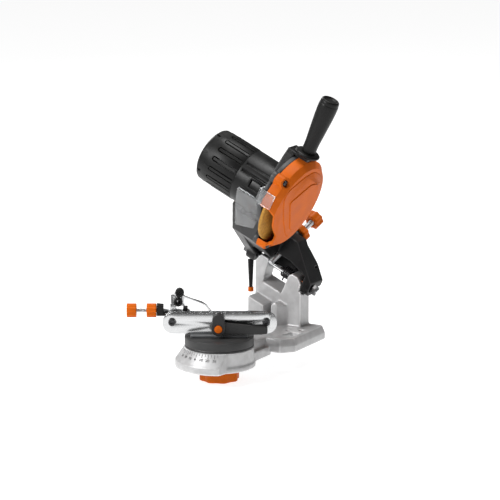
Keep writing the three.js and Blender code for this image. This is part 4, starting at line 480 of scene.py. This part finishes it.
def knob(name, node, body, slot, look, **sizes):
    """A lobed knob in place of its CAD node."""
    laid(name, lobed_knob(**sizes), body, slot, look, node)


def trimmed(name, node, width, body, slot, look, sharpest=28):
    """A piece that keeps its CAD node's shape, with its edges eased."""
    laid(name, eased(merged(node), width, sharpest), body, slot, look, node)


def painted(look, *nodes):
    """A look for CAD nodes that keep their own shape."""
    for node in nodes:
        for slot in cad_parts[node].material_slots:
            slot.material = look


knob(
    "turntable_knob_moulding", "turntable_knob", "table_knob", "orange_plastic", orange_plastic,
    radius=27, low=-27, high=-10, lobes=8, wave=2.4, rim=1.6, dish=1.5, bore=0, place=machine,
)
trimmed("clamp_washer", "turntable_washer", 0.2, "base", "steel", zinc_steel)
painted(zinc_steel, "pivot_bolt")

# Hinge: a chromed steel rod with a nut on each end, and a wire spring coiled round it whose
# legs press on the column's slot and on the arm.
HINGE_PLACE, HINGE_LEAN = (11.2, 150.8, 93.8), 25
ROD_RADIUS, ROD_LEFT, ROD_RIGHT = 4, -61, 60.5
SPRING_COIL, SPRING_WIRE, SPRING_PITCH, SPRING_START, SPRING_TURNS = 7.2, 1.1, 2.75, 3.2, 4
SPRING_LEG, SPRING_OVERLAP = 17, 0.6
SPRING_STEPS, WIRE_SIDES = 40, 14
chrome = finish_of(
    "chrome plate", (0.72, 0.73, 0.74), (0.82, 0.83, 0.84), (0.9, 0.9, 0.9), 0.14,
    metallic=1.0, scale=1200.0, patch=60.0, bump=0.00002, radius=0.0004, wear=0.2, dust=0.04,
)
dull_steel = finish_of(
    "dull forged steel", (0.10, 0.10, 0.102), (0.17, 0.17, 0.173), (0.45, 0.45, 0.46), 0.42,
    metallic=0.9, scale=2400.0, patch=300.0, bump=0.00004, radius=0.0004, wear=0.6, dust=0.05,
)
black_oxide = finish_of(
    "oiled black steel", (0.035, 0.035, 0.038), (0.06, 0.06, 0.063), (0.32, 0.32, 0.33), 0.34,
    metallic=0.8, scale=2400.0, patch=300.0, bump=0.00003, radius=0.0004, wear=0.6, dust=0.05,
)


def rotated(degrees, axis):
    """A turn about one of the axes."""
    return Matrix.Rotation(math.radians(degrees), 4, axis)


hinge = machine @ shift(*HINGE_PLACE) @ rotated(HINGE_LEAN, "Y")
along_x = rotated(90, "Y")


def turned(profile, place, steps=96):
    """A profile of (radius, height) in millimetres, turned round the place's Z."""
    form = bmesh.new()
    verts = [form.verts.new((radius * MM, 0, height * MM)) for radius, height in profile]
    edges = [form.edges.new(pair) for pair in zip(verts, verts[1:])]
    bmesh.ops.spin(
        form, geom=verts + edges, cent=(0, 0, 0), axis=(0, 0, 1), dvec=(0, 0, 0),
        angle=2 * math.pi, steps=steps, use_merge=True, use_normal_flip=False, use_duplicate=False,
    )
    bmesh.ops.remove_doubles(form, verts=form.verts, dist=1e-6)
    bmesh.ops.recalc_face_normals(form, faces=form.faces)
    bmesh.ops.transform(form, matrix=place, verts=form.verts)
    return form


def coiled(form, pitch, turns, steps_a_turn, place):
    """Winds the bmesh's only face round Z as a coil with closed ends, and puts it in place."""
    count = round(steps_a_turn * turns)
    bmesh.ops.spin(
        form, geom=form.faces[:], cent=(0, 0, 0), axis=(0, 0, 1),
        dvec=(0, 0, pitch * turns / count * MM), angle=2 * math.pi * turns, steps=count,
        use_merge=False, use_normal_flip=False, use_duplicate=False,
    )
    bmesh.ops.recalc_face_normals(form, faces=form.faces)
    bmesh.ops.transform(form, matrix=place, verts=form.verts)


def rod_between(form, start, end, radius):
    """Adds a round rod between two points, in millimetres."""
    start, end = Vector(start) * MM, Vector(end) * MM
    run = end - start
    lay = Matrix.Translation((start + end) / 2) @ run.to_track_quat("Z", "Y").to_matrix().to_4x4()
    bmesh.ops.create_cone(
        form, cap_ends=True, segments=WIRE_SIDES, radius1=radius * MM, radius2=radius * MM,
        depth=run.length, matrix=lay,
    )


rod = turned(
    [(0, ROD_LEFT), (ROD_RADIUS, ROD_LEFT), (ROD_RADIUS, ROD_RIGHT), (0, ROD_RIGHT)],
    hinge @ along_x, 48,
)
laid("hinge_rod_turned", eased(rod, 0.6), "base", "chrome", chrome, "hinge_rod")
for side in ("left", "right"):
    nut = "hinge_nut_" + side
    trimmed(nut + "_forged", nut, 0.5, "base", "steel", dull_steel)

spring = bmesh.new()
wire = bmesh.ops.create_circle(spring, cap_ends=True, segments=WIRE_SIDES, radius=SPRING_WIRE * MM)
lay = shift(SPRING_COIL, 0, SPRING_START) @ rotated(90, "X")
bmesh.ops.transform(spring, matrix=lay, verts=wire["verts"])
coiled(spring, SPRING_PITCH, SPRING_TURNS, SPRING_STEPS, rotated(90, "Y") @ rotated(-90, "Z"))
for at, foot, tip in (
    (SPRING_START, SPRING_OVERLAP, -SPRING_LEG),
    (SPRING_START + SPRING_PITCH * SPRING_TURNS, -SPRING_OVERLAP, SPRING_LEG),
):
    rod_between(spring, (at, SPRING_COIL, foot), (at, SPRING_COIL, tip), SPRING_WIRE)
bmesh.ops.transform(spring, matrix=hinge, verts=spring.verts)
laid("return_spring_wound", spring, "base", "dark_steel", black_oxide, "return_spring")

# Swing arm: a dark painted casting that straddles the column and carries the motor. The
# depth stop is a threaded rod through its lug, with an orange knob and a lock knob.
THREAD_DEPTH, THREAD_ROOT = 0.35, 0.5
THREAD_HALF = 0.42  # half of a ridge's foot, of the pitch
THREAD_CREST = 0.25  # the ridge's flat top, of its foot
THREAD_STEPS = 20
DEPTH_PLACE, DEPTH_LEAN = (-12, -20, 8.4), -58
DEPTH_SCREW_RADIUS, DEPTH_SCREW_PITCH, DEPTH_SCREW_LENGTH = 3.9, 1.25, 96
dark_paint = finish_of(
    "dark casting paint", (0.004, 0.004, 0.0045), (0.009, 0.009, 0.0095), (0.085, 0.085, 0.088),
    0.36, scale=1300.0, patch=70.0, bump=0.00010, radius=0.0010, wear=0.5, dust=0.03, gleam=0.22,
    crest=0.7,
)
depth = hinge @ shift(*DEPTH_PLACE) @ rotated(DEPTH_LEAN, "X")


def added(form, part):
    """Adds one bmesh to another."""
    mesh = bpy.data.meshes.new("part")
    part.to_mesh(mesh)
    part.free()
    form.from_mesh(mesh)
    bpy.data.meshes.remove(mesh)


def threaded(radius, pitch, low, high, place):
    """A screw: its core and a ridge that winds along it."""
    core, root = radius - THREAD_DEPTH, radius - THREAD_ROOT
    half = pitch * THREAD_HALF
    crest = half * THREAD_CREST
    form = turned([(0, low), (core, low), (core, high), (0, high)], place, 32)
    ridge = bmesh.new()
    points = [(root, -half), (radius, -crest), (radius, crest), (root, half)]
    ridge.faces.new([ridge.verts.new((r * MM, 0, (low + pitch + h) * MM)) for r, h in points])
    coiled(ridge, pitch, (high - low - 2 * pitch) / pitch, THREAD_STEPS, place)
    added(form, ridge)
    return form


cast("swing_arm_cast", "swing_arm", 0.95, 3, "head", "dark_casting", dark_paint)
screw = threaded(DEPTH_SCREW_RADIUS, DEPTH_SCREW_PITCH, 0, DEPTH_SCREW_LENGTH, depth)
laid("depth_screw_cut", screw, "depth_stop", "chrome", zinc_steel, "depth_screw")
knob(
    "depth_knob_moulding", "depth_knob", "depth_stop_knob", "orange_plastic", orange_plastic,
    radius=12, low=91, high=104.5, lobes=8, wave=1.5, rim=1.8, dish=1.2, bore=4.2, place=depth,
)
knob(
    "depth_lock_moulding", "depth_lock_knob", "depth_lock", "orange_plastic", orange_plastic,
    radius=13.4, low=62.3, high=72.3, lobes=8, wave=1.6, rim=1.6, dish=1.0, bore=4.2,
    place=depth,
)

# Lead protector: a tapered sleeve moulded in black plastic that hangs under the left leg,
# with an orange collar pressed on its tip.
black_plastic = finish_of(
    "black moulded plastic", (0.004, 0.004, 0.004), (0.009, 0.009, 0.0088), (0.060, 0.060, 0.060),
    0.38, scale=2600.0, patch=45.0, bump=0.00006, radius=0.0007, wear=0.45, dust=0.02, gleam=0.22,
)
trimmed("lead_sleeve", "lead_protector", 0.3, "head", "black_plastic", black_plastic, 40)
trimmed("lead_sleeve_collar", "lead_collar", 0.15, "head", "orange_plastic", orange_plastic, 40)

# Wheel guard: a dark cast backplate and an orange moulded cover over the grinding wheel,
# held by three screws in ears on its rim. Two flat panels stand out of the cover's face.
WHEEL_PLACE = (0, -85.5, 128.5)
wheel = hinge @ shift(*WHEEL_PLACE)
wheel_axis = wheel @ along_x
COVER_FACE = 16
PANEL_CORNER = 5
OUTER_PANEL_RISE, OUTER_PANEL_EDGE = 1.0, 0.95
INNER_PANEL_RISE, INNER_PANEL_EDGE = 2.2, 1.15
outer_panel = [
    (-46.5, 33.5), (-14.1, 48.7), (8, 53), (28, 46), (44, 33), (53, 15), (54, -7), (47, -28),
    (31, -45), (11, -50), (-1, -41), (-23, -17), (-40, 5), (-50, 21),
]
inner_panel = [
    (-29.3, 12.4), (14, 32.9), (34, 30), (46, 10), (46, -10), (38, -27), (22, -42), (7.3, -37.7),
]


def raised_panel(outline, low, high, edge):
    """A flat panel on the cover's face, drawn as (Y, Z), with round corners and a cut edge."""
    form = bmesh.new()
    form.faces.new([form.verts.new((low * MM, y * MM, z * MM)) for y, z in outline])
    pushed(form, form.faces[:], ((high - low) * MM, 0, 0))
    bmesh.ops.recalc_face_normals(form, faces=form.faces)
    corners = [e for e in form.edges if abs(e.verts[0].co.x - e.verts[1].co.x) > 1e-6]
    rounded_off(form, corners, PANEL_CORNER * MM, 4)
    rim = [e for e in form.edges if min(v.co.x for v in e.verts) > (high - 0.01) * MM]
    rounded_off(form, rim, edge * MM, 1)
    bmesh.ops.transform(form, matrix=wheel, verts=form.verts)
    return form


trimmed("backplate_cast", "guard_backplate", 0.6, "head", "dark_casting", dark_paint, 40)
cover = eased(merged("wheel_cover"), 0.9, 30, 3)
for outline, foot, rise, edge in (
    (outer_panel, 2, OUTER_PANEL_RISE, OUTER_PANEL_EDGE),
    (inner_panel, 1, INNER_PANEL_RISE, INNER_PANEL_EDGE),
):
    panel = raised_panel(outline, COVER_FACE - foot, COVER_FACE + rise, edge)
    cover = boolean(cover, panel, "UNION")
laid("cover_moulding", cover, "head", "orange_plastic", orange_plastic, "wheel_cover")
for number in (1, 2, 3):
    screw = "cover_screw_%d" % number
    trimmed(screw + "_head", screw, 0.25, "head", "steel", black_oxide, 40)

# Visor: a bent sheet of clear plastic with a small hood, fixed under the motor in front of
# the wheel. Its milky white share is a painted sheen that stands in for glare on the sheet.
clear_sheet = bpy.data.materials.new("clear sheet")
clear_sheet.use_nodes = True
sheet_tree = clear_sheet.node_tree
sheet_shader = sheet_tree.nodes["Principled BSDF"]
# Transmission short of full lets the near-white base colour show: a painted sheen over what lies
# behind.
sheet_shader.inputs["Transmission Weight"].default_value = 0.91
sheet_shader.inputs["IOR"].default_value = 1.33
sheet_tone = group_in(sheet_tree, grain_tree, {"Scale": 700.0, "Patch": 30.0})["Tone"]
sheet_tint_and_painted_sheen = blended(sheet_tree, sheet_tone, (0.90, 0.92, 0.93, 1), (0.95, 0.96, 0.97, 1))
sheet_tree.links.new(sheet_tint_and_painted_sheen, sheet_shader.inputs["Base Color"])
sheet_haze = put(
    sheet_tree, "MapRange", {"Value": sheet_tone, "To Min": 0.01, "To Max": 0.05}
).outputs["Result"]
sheet_tree.links.new(sheet_haze, sheet_shader.inputs["Roughness"])
trimmed("visor_sheet", "visor", 0.3, "head", "clear_sheet", clear_sheet, 40)

# Motor housing: two moulded black shells that meet at a seam. The rear one has U-shaped vent
# slots, each round a raised finger, notches in its end rim and two parting lines.
HOUSING_RADIUS, HOUSING_INNER, SEAM, CAP_END = 37.5, 34.5, -66.5, -128
FINGERS = 16
FIRST_FINGER = 95.5  # degrees from the wheel's Y towards its Z
FINGER_WIDTH, FINGER_END = 5.4, -104
FINGER_PAD = 3
SLOT_WIDTH = 1.5
SLOT_BEND_STEPS = 14
RING_NOTCHES, FIRST_NOTCH, NOTCH_WIDTH = 8, 115, 3.6
PARTING_LINES, PARTING_WIDTH = (184, -4), 1.4
vent_plastic = finish_of(
    "black plastic of the vents", (0.004, 0.004, 0.004), (0.009, 0.009, 0.0088),
    (0.035, 0.035, 0.035), 0.42,
    scale=2600.0, patch=45.0, bump=0.00006, radius=0.0003, wear=0.3, dust=0.02, gleam=0.22,
)


def round_motor(degrees):
    """A frame at the motor's axis: X round it, Y out of it and Z along the shaft."""
    axes = Matrix(((0, 0, 1, 0), (0, 1, 0, 0), (-1, 0, 0, 0), (0, 0, 0, 1)))
    return rotated(degrees, "X") @ axes


def block_in(form, place, width, out, along):
    """Adds a box: its width, and its ranges out of the motor's axis and along the shaft."""
    box = bmesh.ops.create_cube(form, size=1)["verts"]
    ranges = ((-width / 2, width / 2), out, along)
    size = Matrix.Diagonal([(high - low) * MM for low, high in ranges] + [1])
    middle = shift(*((high + low) / 2 for low, high in ranges))
    bmesh.ops.transform(form, matrix=place @ middle @ size, verts=box)


def u_slot(form, place, low, high, front, rear):
    """Adds a U-shaped cutter: two straight runs along the shaft and a half ring behind them."""
    part = bmesh.new()
    near, far = (FINGER_WIDTH - SLOT_WIDTH) / 2, (FINGER_WIDTH + SLOT_WIDTH) / 2
    corners = ((near, low), (far, low), (far, high), (near, high))
    face = part.faces.new([part.verts.new((x * MM, y * MM, front * MM)) for x, y in corners])
    end = pushed(part, [face], (0, 0, (rear - front) * MM))
    bend = bmesh.ops.spin(
        part, geom=end, cent=(0, 0, rear * MM), axis=(0, 1, 0), dvec=(0, 0, 0), angle=math.pi,
        steps=SLOT_BEND_STEPS, use_merge=False, use_normal_flip=False, use_duplicate=False,
    )["geom_last"]
    end = [f for f in bend if isinstance(f, bmesh.types.BMFace)]
    pushed(part, end, (0, 0, (front - rear) * MM))
    walls_inside = [f for f in part.faces if not any(e.is_manifold for e in f.edges)]
    bmesh.ops.delete(part, geom=walls_inside, context="FACES_ONLY")
    bmesh.ops.recalc_face_normals(part, faces=part.faces)
    bmesh.ops.transform(part, matrix=place, verts=part.verts)
    added(form, part)


trimmed(
    "front_housing_moulding", "motor_front_housing", 0.6, "head", "black_plastic", black_plastic, 35
)
cap = turned([
    (HOUSING_INNER, SEAM), (37.1, SEAM), (HOUSING_RADIUS, SEAM - 0.6), (HOUSING_RADIUS, -116),
    (36.9, -117), (36.9, -122.5), (35.6, -124.6), (33.2, -125.6), (32.2, -126.2),
    (31.4, CAP_END + 0.4), (30.6, CAP_END), (0, CAP_END), (0, -124.3), (11.3, -124.3),
    (11.3, -117), (15, -117), (16, -122), (31.5, -122), (HOUSING_INNER, -116), (HOUSING_INNER, SEAM),
], along_x, 128)
cuts = bmesh.new()
pads = bmesh.new()
for finger in range(FINGERS):
    middle = round_motor(FIRST_FINGER + finger * 360 / FINGERS)
    u_slot(cuts, middle, low=33.2, high=40, front=SEAM - 1.2, rear=FINGER_END)
    block_in(pads, middle, FINGER_PAD, out=(36.4, 37.9), along=(FINGER_END, SEAM - 2.5))
for notch in range(RING_NOTCHES):
    middle = round_motor(FIRST_NOTCH + notch * 360 / RING_NOTCHES)
    block_in(cuts, middle, NOTCH_WIDTH, out=(34.4, 42), along=(-130, -117.5))
for angle in PARTING_LINES:
    middle = round_motor(angle)
    block_in(pads, middle, PARTING_WIDTH, out=(36.2, 38.1), along=(-116, SEAM - 1))
cap = boolean(boolean(cap, cuts), pads, "UNION")
bmesh.ops.transform(cap, matrix=wheel, verts=cap.verts)
laid("rear_cap_moulding", cap, "head", "black_plastic", vent_plastic, "motor_rear_cap")

# Inside the motor: a laminated stack and its coils round the armature, with brushes,
# commutator, fan and two ball bearings on the shaft.
copper_wire = finish_of(
    "enamelled copper", (0.42, 0.13, 0.05), (0.62, 0.24, 0.10), (0.8, 0.45, 0.25), 0.28,
    metallic=0.9, scale=500.0, stretch=(1, 12, 12), patch=300.0, bump=0.00020, wear=0.2, dust=0.05,
)
carbon = finish_of(
    "carbon brush", (0.012, 0.012, 0.013), (0.03, 0.03, 0.031), (0.1, 0.1, 0.1), 0.6,
    scale=3000.0, patch=400.0, wear=0.2, dust=0.1,
)
# The stack's steel is near black: painted shade for the dark inside of the motor, seen through the
# vent slots.
laminations = finish_of(
    "steel sheets darkened as painted shade", (0.018, 0.018, 0.019), (0.034, 0.034, 0.035), (0.10, 0.10, 0.10), 0.60,
    metallic=0.3, scale=900.0, stretch=(14, 1, 1), patch=500.0, bump=0.00015, wear=0.4, dust=0.08,
)
painted(laminations, "stator_core", "armature")
painted(copper_wire, "field_coil_upper", "field_coil_lower", "commutator")
painted(carbon, "brush_holder_front", "brush_holder_back")
painted(zinc_steel, "bearing_front", "bearing_rear", "motor_shaft")
painted(black_plastic, "cooling_fan")

# Power switch: a black moulded rocker that tips in its own body, which is pressed into the
# raised panel on the front housing.
painted(black_plastic, "switch_body")
trimmed("rocker_moulding", "switch_rocker", 0.6, "power_rocker", "black_plastic", black_plastic, 20)

# Handle: a cast bracket bolted behind the guard, with a flanged collar and a swelling grip on
# its stud. Both are moulded in black plastic, and the grip's end is dished.
collar_profile = [
    (4.5, 71), (15.5, 71), (17, 72.5), (17, 74), (15, 75.6), (4.5, 75.6), (4.5, 71),
]
grip_profile = [
    (4.5, 76), (9.2, 76), (9.8, 77.5), (9.55, 85.5), (9.9, 93), (10.5, 100), (11.3, 110),
    (12, 119.5), (12.7, 129), (13.1, 137.6), (13.2, 144), (13.0, 148.2), (12.5, 148.9),
    (12.7, 150.2), (12.2, 153.2), (10.9, 154.7), (10, 155), (9, 154.2), (7.5, 152.6), (0, 152.2),
    (0, 110), (4.5, 110), (4.5, 76),
]
cast("bracket_cast", "handle_bracket", 0.7, 3, "head", "dark_casting", dark_paint)
collar = eased(turned(collar_profile, wheel), 0.4)
laid("collar_moulding", collar, "head", "black_plastic", black_plastic, "handle_collar")
grip = eased(turned(grip_profile, wheel), 0.3, 30)
laid("grip_moulding", grip, "head", "black_plastic", black_plastic, "handle_grip")

# Grinding wheel: a thin resin-bonded disc with rounded rims, held between two steel flanges
# by a nut on the motor's shaft.
grit_stone = finish_of(
    "bonded grit", (0.31, 0.145, 0.020), (0.52, 0.265, 0.042), (0.60, 0.38, 0.12), 0.66,
    scale=1800.0, patch=260.0, bump=0.00025, radius=0.0008, wear=0.6, dust=0.03, gleam=0.3,
)
disc = turned([
    (5.15, -2.4), (58.1, -2.4), (59.2, -1.9), (59.5, -1), (59.5, 1), (59.2, 1.9), (58.1, 2.4),
    (5.15, 2.4), (5.15, -2.4),
], wheel_axis, 160)
laid("wheel_disc", disc, "rotor", "grinding_stone", grit_stone, "grinding_wheel")
painted(zinc_steel, "wheel_flange_inner", "wheel_flange_outer")
trimmed("wheel_nut_forged", "wheel_nut", 0.5, "rotor", "steel", zinc_steel)

# Turntable and vice: a black disc with the grey cast vice foot bolted on it, and two polished
# steel plates on guide bolts, drawn together by a black lever with an orange cap.
VICE_TURN = 30
vice = machine @ rotated(VICE_TURN, "Z")
grey_paint = finish_of(
    "grey casting paint", (0.13, 0.135, 0.14), (0.19, 0.195, 0.20), (0.5, 0.5, 0.51), 0.42,
    metallic=0.3, scale=1300.0, patch=80.0, bump=0.00010, radius=0.0009, wear=0.5, dust=0.08,
)
polished_steel = finish_of(
    "polished plate", (0.53, 0.535, 0.54), (0.63, 0.635, 0.64), (0.88, 0.88, 0.88), 0.22,
    metallic=1.0, scale=260.0, stretch=(1, 1, 9), patch=60.0, bump=0.00002, radius=0.0005,
    wear=0.4, dust=0.03,
)
satin_black = finish_of(
    "satin black nylon", (0.012, 0.012, 0.0122), (0.022, 0.022, 0.0222), (0.10, 0.10, 0.10), 0.42,
    scale=2200.0, patch=55.0, bump=0.00006, radius=0.0008, wear=0.5, dust=0.03, gleam=0.35,
    crest=0.5,
)
table = eased(turned([
    (6.3, 19.3), (46, 19.3), (46, 21), (45.4, 21.6), (45.4, 22.4), (46, 23), (46, 32.6),
    (6.3, 32.6), (6.3, 19.3),
], vice, 160), 0.6)
laid("turntable_turned", table, "turntable", "black_plastic", satin_black, "turntable_disc")
cast("vice_foot_cast", "vice_foot", 0.6, 3, "turntable", "grey_casting", grey_paint)
for side, body in (("rear", "turntable"), ("front", "moving_jaw")):
    jaw = side + "_jaw"
    trimmed(jaw + "_plate", jaw, 0.35, body, "polished_steel", polished_steel, 40)
for side in ("left", "right"):
    bolt = "guide_bolt_" + side
    trimmed(bolt + "_turned", bolt, 0.25, "turntable", "dark_steel", black_oxide, 40)
painted(zinc_steel, "clamp_bolt", "spread_spring")
cast("lever_moulding", "clamp_lever", 0.5, 3, "lever", "black_plastic", satin_black)
trimmed("lever_cap_moulding", "clamp_lever_cap", 0.5, "lever", "orange_plastic", orange_plastic, 40)

# Stop of the vice: a black moulded holder bolted on its left end, an adjusting screw with two
# orange knobs, and a bent steel pawl with two black knobs on a sliding bracket.
STOP_SCREW_RADIUS, STOP_SCREW_PITCH, STOP_SCREW_LEFT, STOP_SCREW_RIGHT = 2.5, 0.8, -121, -39
STOP_PLACE = (0, 12.5, 64)
STOP_KNOB_LENGTH = 13
stop_axis = vice @ shift(*STOP_PLACE) @ along_x
cast("stop_holder_moulding", "stop_holder", 0.45, 2, "turntable", "black_plastic", black_plastic)
trimmed("carriage_bent", "stop_carriage", 0.3, "carriage", "polished_steel", polished_steel, 40)
screw = threaded(
    STOP_SCREW_RADIUS, STOP_SCREW_PITCH, STOP_SCREW_LEFT, STOP_SCREW_RIGHT, stop_axis
)
laid("stop_screw_cut", screw, "stop_spindle", "chrome", zinc_steel, "stop_screw")
for name, node, body, left in (
    ("stop_knob_moulding", "stop_screw_knob", "stop_spindle", -123),
    ("stop_lock_moulding", "stop_lock_knob", "stop_lock", -96.5),
):
    knob(
        name, node, body, "orange_plastic", orange_plastic,
        radius=9.5, low=left, high=left + STOP_KNOB_LENGTH, lobes=12,
        wave=1.0, rim=1.0, dish=1.0, bore=2.8, place=stop_axis,
    )
trimmed("pawl_bent", "pawl", 0.4, "chain_pawl", "polished_steel", polished_steel, 25)
for part, across, height, bore in (("upper", -52, 93.5, 0), ("lower", -54, 81, 2.8)):
    knob(
        "pawl_knob_%s_moulding" % part, "pawl_knob_" + part, "chain_pawl",
        "black_plastic", black_plastic,
        radius=6.1, low=4.9, high=14, lobes=12, wave=0.5, rim=0.8, dish=0.6, bore=bore,
        place=vice @ shift(across, 0, height) @ rotated(90, "X"),
    )
